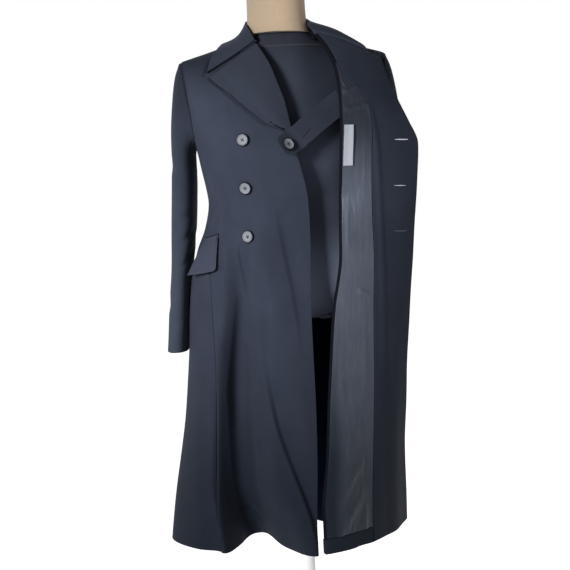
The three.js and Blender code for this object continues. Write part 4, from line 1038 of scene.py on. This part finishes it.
COLLAR = table(
    "station foldX foldY foldZ edgeX edgeY edgeZ neckX neckY neckZ sag",
    (0, -54, -70, 1334, -152, -80, 1274, -56, -66, 1331, 2),
    (1, -61, -54, 1350, -144, -64, 1301, -62, -50, 1345, 4),
    (2, -68, -32, 1365, -133, -46, 1319, -74, -28, 1348, 7),
    (3, -72, -8, 1375, -120, -12, 1336, -82, -4, 1346, 8),
    (4, -72, 18, 1382, -108, 18, 1340, -80, 22, 1346, 6),
    (5, -67, 44, 1386, -90, 64, 1326, -66, 52, 1345, 2),
    (6, -44, 66, 1389, -54, 96, 1306, -38, 70, 1343, 0),
    (7, -7, 74, 1390, -4, 106, 1299, -4, 78, 1342, 0),
    (8, 30, 66, 1389, 48, 96, 1306, 30, 70, 1343, 0),
    (9, 53, 44, 1386, 90, 64, 1327, 60, 52, 1345, 0),
    (10, 58, 18, 1381, 114, 20, 1342, 77, 22, 1347, 0),
    (11, 58, -8, 1374, 138, -8, 1338, 80, -4, 1347, -4),
    (12, 60, -28, 1365, 156, -28, 1325, 72, -26, 1352, -5),
    (13, 65, -44, 1351, 172, -40, 1310, 62, -40, 1350, -4),
    (14, 72, -44, 1336, 176, -36, 1294, 68, -40, 1336, -2),
)
COLLAR_THICK = 3.0
COLLAR_SPAN = ((0, 14), (-1, 1))
NECK_AT = (-7, 5)


def collar_line(station, which):
    return np.stack([read(COLLAR, station, which + axis) for axis in "XYZ"], -1)


def collar_point(station, drop):
    """drop: -1 at the neck seam, 0 on the fold, 1 at the outer edge."""
    fold = collar_line(station, "fold")
    edge = collar_line(station, "edge")
    out = unit((edge - fold) * (1, 1, 0))
    down = np.clip(drop, 0, 1)
    sag = read(COLLAR, station, "sag") * np.sin(np.pi * down)
    fall = fold + (edge - fold) * down[..., None] - out * (0.6 * sag)[..., None]
    fall[..., 2] -= 0.8 * sag
    # Under the fold the cloth turns in by its own thickness and runs down to the neck seam.
    neck = collar_line(station, "neck")
    rise = np.clip(-drop, 0, 1)
    inward = unit((np.array([*NECK_AT, 0]) - fold) * (1, 1, 0))
    under = fold + inward * 4.6
    under[..., 2] -= 4
    turned = np.clip(rise / 0.3, 0, 1)[..., None]
    crown = fold + inward * 3.4 + (0, 0, 0.8)
    bend = fold * (1 - turned) ** 2 + crown * 2 * turned * (1 - turned) + under * turned**2
    stand = mix(under, neck, np.clip((rise - 0.3) / 0.7, 0, 1)[..., None])
    inner = np.where((rise < 0.3)[..., None], bend, stand)
    return np.where((drop < 0)[..., None], inner, fall)


station, drop = np.meshgrid(np.linspace(0, 14, 182), steps((-1, -0.3, 12), (-0.3, 0, 8), (0, 1, 40)))
points = collar_point(station, drop)
uneven = 0.5 * unevenness(points[..., 0] * 1.6, points[..., 2] * 1.6)
points = points + normals(collar_point, station, drop, COLLAR_SPAN) * uneven[..., None]
cloth("collar_cloth", points, COLLAR_THICK, WOOL, "collar_fall collar_stand",
      inner=PAINTED_DARK_SHADE)

# Painted shade lines along the collar's outer edge and its end.
station = np.linspace(0, 4.6, 80)
under_edge("collar_under_edge", collar_point, station, station * 0 + 1, (0, 0.02), 0.6, 2.2, span=COLLAR_SPAN)
run = np.linspace(0.35, 1, 50)
under_edge("collar_end_under_edge", collar_point, run * 0, run, (-0.02, 0), 0.8, 2.2, span=COLLAR_SPAN)

# ------------------------------------------------------------------ hip flaps
# A wool flap on each hip, two cloths thick with a rounded front corner, sewn along its
# top and springing off the skirt at the bottom.
FLAP = table(
    "across topX bottomX topZ bottomZ topOut bottomOut", (0, -146, -150, 946, 876, -0.6, 4),
    (0.5, -160, -178, 942, 870, -0.6, 10), (1, -172, -200, 938, 866, -0.6, 22),
)
FLAP_THICK = 3.0
# Painted light: a lighter copy of the wool for the flaps.
LIT_FLAP_WOOL = wool_finish("flap_wool", (0.0130, 0.0154, 0.0228), (0.0270, 0.0300, 0.0425))


def flap_point(side, across, drop):
    row = {column: read(FLAP, across, column) for column in FLAP if column != "across"}
    corner = 9 * (1 - np.sqrt(1 - np.clip(1 - across / 0.13, 0, 1) ** 2))
    z = mix(row["topZ"], row["bottomZ"] + corner, drop)
    x = mix(row["topX"], row["bottomX"], drop)
    reach = np.maximum(-0.985, x / read(SECTIONS[side], z, "width"))
    point = section_point(side, reach, np.zeros_like(x, bool), z)
    spring = mix(row["topOut"], row["bottomOut"], drop) + 2.2 * np.sin(np.pi * drop) * smooth(across / 0.2)
    return point + np.stack([0.6 * side * spring, -0.8 * spring, 0 * spring], -1)


across, drop = np.meshgrid(np.linspace(0, 1, 44) ** 1.3, np.linspace(0, 1, 40))
for side, word in SIDES:
    surface = functools.partial(flap_point, side)
    normal = -normals(surface, across, drop) * side
    points = surface(across, drop) + normal * (FLAP_THICK + 0.3)
    cloth(f"flap_{word}_cloth", points, FLAP_THICK, LIT_FLAP_WOOL, f"pocket_flap_{word}",
          flip=side > 0, inner=PAINTED_DARK_SHADE)
    # Painted shade: dark cords along the flap's front and bottom edges and along its top seam.
    outline = np.concatenate([points[4:, 0], points[-1, 1:]]) - np.concatenate([normal[4:, 0], normal[-1, 1:]]) * 2.4
    cord(f"flap_{word}_under_edge", outline, 1.2)
    cord(f"flap_{word}_seam", points[0] - normal[0] * 1.2 + (0, 0, 0.9), 1.3)

# ------------------------------------------------------------------ inner tab
# A wool tab with a rounded end and buttonholes along it. It comes from behind the left
# front and buttons on the right front's edge.
TAB = table(
    "along x y z", (0, -11, -178, 1111), (0.06, -6, -173.7, 1114), (0.14, 1, -168.2, 1117), (0.2, 8.5, -161.8, 1121.5),
    (0.27, 15, -156, 1126), (0.4, 30, -151.5, 1138), (0.66, 62, -140, 1163), (0.86, 92, -125, 1185),
    (1, 116, -115.5, 1203),
)
TAB_HALF = 23.5
TAB_THICK = 3.0
TAB_ROUND = 0.14               # the rounded end's share of the length, and the button's place
TAB_SLOPE = 0.74               # how far its width leans for each step up


def tab_point(along, across):
    centre = np.stack([read(TAB, along, axis) for axis in "xyz"], -1)
    end = np.clip(1 - along / TAB_ROUND, 0, 1)
    half = TAB_HALF * np.sqrt(1 - (0.92 * end) ** 2)
    way = np.array([-TAB_SLOPE, 0, 1]) / math.hypot(TAB_SLOPE, 1)
    return centre + way * ((across - 0.5) * 2 * half)[..., None]


along, across = np.meshgrid(steps((0, TAB_ROUND, 20), (TAB_ROUND, 1, 60)), np.linspace(0, 1, 26))
wave = 0.9 * np.sin(9 * along + 1) * bell(across - 0.5, 0.5, 0.5)
points = tab_point(along, across) + normals(tab_point, along, across) * wave[..., None]
cloth("tab_cloth", points, TAB_THICK, WOOL, "tab_strap")

# ------------------------------------------------------------------ buttons
# Horn-like buttons with a dark rounded rim round a paler dished face with four holes,
# sewn on with crossed thread.
BUTTON_COLUMN = -86
BUTTON_LEVELS = (1132, 1038, 941)
BUTTON_RADIUS = 13.0 * MM
BUTTON_THICK = 4.5 * MM
RIM_ROUNDING = 1.1 * MM
RIM_SHARE = 0.84               # the dark rim lies outside this share of the radius
# From the rim inward: the width of each step of the face and how far it then sinks.
FACE_STEPS = ((2.6 * MM, 0), (1.4 * MM, 1.3 * MM), (3.0 * MM, 0.35 * MM))
HOLE_AT = 2.1 * MM
HOLE_RADIUS = 1.3 * MM
STRAND_REACH = 3.3 * MM
STRAND_RADIUS = 0.6 * MM
HORN = Finish("button_horn", specular_ior_level=0.12)
RIM = mottled(
    "button_rim", 300, 3, (0.002, 0.0026, 0.004), (0.006, 0.007, 0.010), roughness=0.6, specular_ior_level=0.08
)
marble = HORN.noise(HORN.stretch(HORN.place(), 60, 60, 240), 1.0, 5, 0.65)
HORN.feed("Base Color", HORN.between(marble * 0.7 + 0.05, (0.068, 0.073, 0.087), (0.135, 0.142, 0.162)))
HORN.feed("Roughness", marble * 0.2 + 0.4)
THREAD = mottled("button_thread", 2500, 2, (0.003, 0.0035, 0.006), (0.009, 0.010, 0.015), roughness=0.8)


def make_button(name):
    """A button at the origin with its face up, in metres."""
    bpy.ops.mesh.primitive_cylinder_add(
        vertices=56, radius=BUTTON_RADIUS, depth=BUTTON_THICK, location=(0, 0, BUTTON_THICK / 2)
    )
    piece = bpy.context.object
    piece.name = name
    bpy.ops.object.transform_apply(location=True)
    bpy.ops.object.mode_set(mode="EDIT")
    bpy.ops.mesh.select_all(action="DESELECT")
    bpy.ops.object.mode_set(mode="OBJECT")
    for face in piece.data.polygons:
        face.select = face.normal.z > 0.9
    bpy.ops.object.mode_set(mode="EDIT")
    for width, sink in FACE_STEPS:
        bpy.ops.mesh.inset(thickness=width)
        bpy.ops.transform.translate(value=(0, 0, -sink))
    bpy.ops.object.mode_set(mode="OBJECT")
    round_edges(piece, RIM_ROUNDING, 3, 35)
    for x, y in ((-1, -1), (1, -1), (1, 1), (-1, 1)):
        bpy.ops.mesh.primitive_cylinder_add(
            vertices=16, radius=HOLE_RADIUS, depth=12 * MM, location=(HOLE_AT * x, HOLE_AT * y, 0)
        )
        drill = bpy.context.object
        hole = piece.modifiers.new("hole", "BOOLEAN")
        hole.operation = "DIFFERENCE"
        hole.solver = "EXACT"
        hole.object = drill
        apply_modifiers(piece)
        bpy.data.objects.remove(drill, do_unlink=True)
    piece.data.materials.clear()
    for material in (HORN.material, RIM):
        piece.data.materials.append(material)
    for face in piece.data.polygons:
        outside = math.hypot(face.center.x, face.center.y) > RIM_SHARE * BUTTON_RADIUS
        face.material_index = 1 if outside or face.center.z < 0.4 * BUTTON_THICK else 0
    smooth_by_angle(piece, 40)
    return piece


def make_thread(name):
    """Two crossed strands over the four holes."""
    strands = []
    for turn in (45, 135):
        for shift in (-0.35, 0.35):
            bpy.ops.mesh.primitive_torus_add(
                major_segments=24, minor_segments=8, major_radius=STRAND_REACH, minor_radius=STRAND_RADIUS
            )
            strand = bpy.context.object
            place = Matrix.Rotation(math.radians(turn), 4, "Z") @ Matrix.Translation((0, shift * MM, 0))
            raised = Matrix.Translation((0, 0, 1.7 * MM)) @ Matrix.Scale(0.45, 4, (0, 0, 1))
            strand.data.transform(place @ raised @ Matrix.Rotation(math.pi / 2, 4, "X"))
            strands.append(strand)
    bpy.ops.object.select_all(action="DESELECT")
    for strand in strands:
        strand.select_set(True)
    bpy.context.view_layer.objects.active = strands[0]
    bpy.ops.object.join()
    piece = bpy.context.object
    piece.name = name
    bpy.ops.object.shade_smooth()
    bpy.ops.object.select_all(action="DESELECT")
    return piece


def front_place(x, z):
    """Point and outward normal of the right front at a place on it."""
    def at(px, pz):
        px, pz = np.array([px], float), np.array([pz], float)
        return section_point(-1, px / read(SECTIONS[-1], pz, "width"), np.array([False]), pz)[0]

    return at(x, z), unit(np.cross(at(x + 2, z) - at(x - 2, z), at(x, z + 2) - at(x, z - 2)))


def sew_button(node, point, normal, stand, turn):
    facing = Vector(normal).to_track_quat("Z", "Y").to_matrix().to_4x4()
    place = Matrix.Translation(Vector(point + normal * stand) / 1000) @ facing @ Matrix.Rotation(turn, 4, "Z")
    button = make_button(node + "_horn")
    button.data.transform(place)
    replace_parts(finish_piece(button), node)
    thread = make_thread(node + "_thread")
    thread.data.transform(place)
    finish_piece(thread, THREAD)


for i, level in enumerate(BUTTON_LEVELS):
    sew_button(f"button_right_{i + 1}", *front_place(BUTTON_COLUMN, level), 0.6, 0.2 + 0.5 * i)
one = np.array([TAB_ROUND])
tab_normal = normals(tab_point, one, one * 0 + 0.5)[0]
sew_button("button_tab", tab_point(one, one * 0 + 0.5)[0], tab_normal, 1.2, 0.9)

# ------------------------------------------------------------------ buttonholes
# Worked buttonholes: three across the facing and two along the tab, each a slit between two stitched lips. The facing's
# slits are filled with painted light, pale in the upper two and dimmer in the lowest; the tab's holes are ringed in
# near-black painted shade.
STITCH = mottled("buttonhole_stitch", 500, 2, (0.010, 0.012, 0.019), (0.028, 0.032, 0.046), roughness=0.9)
# Painted light in the facing's slits, pale and dim, and near-black painted shade for the tab's holes.
SLIT_PAINTED_LIGHT = mottled("slit_painted_light", 500, 2, (0.30, 0.31, 0.34), (0.5, 0.52, 0.56), roughness=0.9)
SLIT_PAINTED_DIM_LIGHT = mottled("slit_painted_dim_light", 500, 2, (0.03, 0.033, 0.04), (0.07, 0.075, 0.088), roughness=0.9)
SLIT_PAINTED_SHADE = mottled("slit_painted_shade", 500, 2, (0.001, 0.0012, 0.002), (0.003, 0.0036, 0.005), roughness=0.9)


def buttonhole(name, surface, first, last, width, slit, stitch):
    """Runs between two places (X, Z) of a surface that is given as a grid of points."""
    def nearest(x, z):
        away = np.hypot(surface[..., 0] - x, surface[..., 2] - z)
        return np.unravel_index(np.argmin(away), away.shape)

    ends = [surface[nearest(*place)] for place in (first, last)]
    i, j = nearest((first[0] + last[0]) / 2, (first[1] + last[1]) / 2)
    out = np.cross(surface[i, j + 1] - surface[i, j], surface[i + 1, j] - surface[i, j])
    out = unit(out) * -np.sign(out[1])
    right = unit(ends[1] - ends[0])
    over = np.cross(out, right)
    centre = surface[i, j] + out * 0.5
    half = np.linalg.norm(ends[1] - ends[0]) / 2
    turn = np.linspace(0, 2 * math.pi, 73)
    rim = np.sign(np.sin(turn)) * np.abs(np.sin(turn)) ** 0.6
    line = centre + right * (half * np.cos(turn))[:, None] + over * (width * rim)[:, None]
    cord(name + "_stitch", line, 0.6, stitch)
    across, side = np.meshgrid(np.linspace(-1, 1, 41), np.linspace(-1, 1, 5))
    lens = side * (width * np.sqrt(np.maximum(0, 1 - across**2)))
    points = centre + right * (half * across)[..., None] + over * lens[..., None]
    finish_piece(grid_mesh(name + "_slit", points), slit)


column, row = np.meshgrid(np.linspace(2.42, 2.99, 90), np.linspace(0.7, 1.15, 260))
facing = turned_front(column, row, INSIDE + FACING_THICK, lining=True)
buttonhole("facing_hole_1", facing, (213.6, 1119), (243, 1117.6), 1.5, SLIT_PAINTED_LIGHT, STITCH)
buttonhole("facing_hole_2", facing, (208.3, 1027.3), (235, 1025.8), 1.1, SLIT_PAINTED_LIGHT, STITCH)
buttonhole("facing_hole_3", facing, (205, 937.6), (232, 935.9), 1.0, SLIT_PAINTED_DIM_LIGHT, STITCH)
column, row = np.meshgrid(np.linspace(0.2, 0.9, 140), np.linspace(0.1, 0.9, 40))
strap = tab_point(column, row)
buttonhole("tab_hole_1", strap, (29, 1131), (46, 1149), 1.4, LIT_FLAP_WOOL, SLIT_PAINTED_SHADE)
buttonhole("tab_hole_2", strap, (71, 1166), (89, 1184), 1.4, LIT_FLAP_WOOL, SLIT_PAINTED_SHADE)

# ------------------------------------------------------------------ dress form
# A padded torso in a dark fitted jersey cover with a bound neckline, gathered to a small
# knot under the hip, and a linen-covered neck with a wooden cap.
FORM = table(
    "z width front back", (762, 70, 52, 52), (772, 104, 76, 74), (800, 140, 96, 92), (850, 158, 104, 98),
    (910, 158, 104, 92), (970, 146, 98, 78), (1020, 140, 98, 74), (1080, 152, 114, 84), (1140, 166, 122, 94),
    (1200, 182, 116, 98), (1250, 194, 108, 98), (1400, 196, 96, 92),
)
FORM_BOTTOM = 757
FORM_TOP = 1349
NECK_RADIUS = 60
NECK_TOP = 1442

JERSEY = Finish("jersey", roughness=0.8, specular_ior_level=0.1, specular_tint=(0.5, 0.7, 1.0, 1))
place = JERSEY.place()
knit = JERSEY.noise(JERSEY.stretch(place, 1400, 1400, 420), 1.0, 2)
shade = JERSEY.noise(place, 10, 3)
jersey_colour = JERSEY.between(shade * 0.8 + knit * 0.3 - 0.1, (0.105, 0.125, 0.180), (0.210, 0.235, 0.325))
# Painted light and shade: the jersey paler at its foot and darker upward, and darker toward +X.
jersey_colour = JERSEY.fade(jersey_colour, JERSEY.height(), (0.80, 1.0, 0.97, 0.27), (1.08, 1.0, 1.22, 0.4))
jersey_colour = JERSEY.fade(jersey_colour, JERSEY.sideways(), (-0.02, 1.25, 0.06, 0.70))
# A sheer yoke over a bound neckline.
level = JERSEY.height()
yoke = JERSEY.ramp(level, 1.3205, 0.0, 1.3225, 0.35)
binding = JERSEY.ramp(level, 1.3175, 0.0, 1.3190, 0.7) * JERSEY.ramp(level, 1.3200, 1.0, 1.3220, 0.0)
jersey_colour = JERSEY.between(yoke, jersey_colour, (0.020, 0.018, 0.024))
jersey_colour = JERSEY.between(binding, jersey_colour, (0.034, 0.029, 0.034))
JERSEY.feed("Base Color", jersey_colour)
JERSEY.bump(knit, 0.25, 0.0003)


def form_under(z):
    return 3.1 + 3 * smooth((z - 1316) / 18)


RIDGE_X = np.linspace(0, 215, 861)


def ridge_reach(z):
    """Half width of the form where its top slopes along the shoulder ridge."""
    heights = read(RIDGE, RIDGE_X, "z")
    clear = heights[None, :] - form_under(z)[:, None] >= z[:, None]
    return np.array([RIDGE_X[row].max() if row.any() else 0.0 for row in clear])


def form_ring(z, count):
    """Rings of points round the form at heights z."""
    turn = np.linspace(0, 2 * math.pi, count, endpoint=False)[None, :]
    z = np.asarray(z, float)
    width = read(FORM, z, "width")[:, None]
    half = np.minimum(width[:, 0], ridge_reach(z))[:, None]
    x = half * np.sin(turn)
    cosine = np.sqrt(np.maximum(0, 1 - (x / width) ** 2)) ** 0.8
    levels = np.repeat(z[:, None], count, axis=1)
    fade = ridge_round(x, levels + form_under(z)[:, None])
    at_back = np.cos(turn) < 0
    depth = np.where(at_back, read(FORM, z, "back")[:, None], -read(FORM, z, "front")[:, None])
    return np.stack([x, (5 + depth * cosine) * fade, levels], -1)


def ring_body(name, rings, low, high):
    """A closed body over level rings, with a point at each end."""
    rows, count = rings.shape[:2]
    points = np.concatenate([rings.reshape(-1, 3), [low, high]])
    faces = []
    for j in range(count):
        following = (j + 1) % count
        for i in range(rows - 1):
            a, b = i * count, (i + 1) * count
            faces.append((a + j, a + following, b + following, b + j))
        faces.append((rows * count, following, j))
        faces.append((rows * count + 1, (rows - 1) * count + j, (rows - 1) * count + following))
    piece = mesh_piece(name, points, faces)
    bpy.context.view_layer.objects.active = piece
    bpy.ops.object.mode_set(mode="EDIT")
    bpy.ops.mesh.select_all(action="SELECT")
    bpy.ops.mesh.normals_make_consistent(inside=False)
    bpy.ops.object.mode_set(mode="OBJECT")
    return piece


form_levels = np.concatenate([
    FORM_BOTTOM + 5 + 10 * np.linspace(0, 1, 6) ** 1.5, np.linspace(776, 1280, 120), np.linspace(1284, FORM_TOP, 40),
])
torso = ring_body("torso_jersey", form_ring(form_levels, 120), (0, 0, FORM_BOTTOM), (*NECK_AT, FORM_TOP))
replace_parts(finish_piece(torso, JERSEY.material), "form_torso")

# The cover is gathered into a small knot at its foot.
bpy.ops.mesh.primitive_uv_sphere_add(segments=60, ring_count=24, radius=1)
knot = bpy.context.object
knot.name = "cover_knot"
for vertex in knot.data.vertices:
    x, y, z = vertex.co
    gather = 1 + 0.1 * math.cos(11 * math.atan2(y, x)) * (1 - z * z)
    vertex.co = Vector((63 + 15 * gather * x, -44 + 10 * gather * y, 766 + 6 * z)) / 1000
knot.data.polygons.foreach_set("use_smooth", [True] * len(knot.data.polygons))
finish_piece(knot, JERSEY.material)

# ------------------------------------------------------------------ neck, cap and stand
# A flared neck covered in coarse linen with a turned wooden cap, and under the form a
# painted steel pole on a flat round base.
LINEN = Finish("linen", roughness=0.88, sheen_weight=0.15)
place = LINEN.place()
warp = LINEN.noise(LINEN.stretch(place, 900, 900, 60), 1.0, 3)
weft = LINEN.noise(LINEN.stretch(place, 60, 60, 1100), 1.0, 3)
linen_colour = LINEN.between(warp * 0.6 + weft * 0.6 - 0.1, (0.24, 0.175, 0.112), (0.40, 0.30, 0.203))
# Painted light and shade: the linen darker toward -X and full colour toward +X, where the surround is dimmer.
LINEN.feed("Base Color", LINEN.fade(linen_colour, LINEN.sideways(), (-0.05, 0.54, 0.052, 1.0)))
LINEN.bump(warp + weft, 0.5, 0.0004)


def turned(name, node, centre, profile, material):
    """A round piece turned about an upright axis from its profile of radius and height."""
    turn = np.linspace(0, 2 * math.pi, 96, endpoint=False)
    rings = np.array([
        [(centre[0] + r * math.sin(a), centre[1] - r * math.cos(a), z) for a in turn] for r, z in profile
    ])
    piece = ring_body(name, rings, (*centre, profile[0][1]), (*centre, profile[-1][1]))
    smooth_by_angle(piece, 35)
    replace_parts(finish_piece(piece, material), node)


flare = [(NECK_RADIUS + 8 * math.exp(-rise / 16), FORM_TOP + 0.3 + rise) for rise in range(0, 84, 3)]
turned("neck_linen", "form_neck", NECK_AT, flare + [(60, 1438), (58.5, 1441), (56, NECK_TOP)], LINEN.material)

WOOD = Finish("cap_wood", roughness=0.4)
grain = WOOD.noise(WOOD.stretch(WOOD.place(), 240, 30, 60), 1.0, 5)
WOOD.feed("Base Color", WOOD.between(grain * 1.4 - 0.2, (0.18, 0.08, 0.03), (0.42, 0.24, 0.11)))
turned("neck_cap", "form_neck_cap", NECK_AT, [(54, 1442.3), (56, 1443.5), (56, 1448), (54.5, 1451), (50, 1452)],
       WOOD.material)

PAINT = Finish("stand_paint", roughness=0.35)
speck = PAINT.noise(PAINT.place(), 400, 3)
PAINT.feed("Base Color", PAINT.between(speck, (0.62, 0.62, 0.63), (0.72, 0.72, 0.73)))
PAINT.bump(speck, 0.1, 0.0003)
turned("pole", "stand_pole", (0, 0), [(16, 12.3), (16, 756.7)], PAINT.material)
turned("base", "stand_base", (0, 0), [(188, 0), (190, 1.5), (190, 9), (188.5, 11.2), (186, 12)], PAINT.material)

print("CUTS", json.dumps(CUTS))
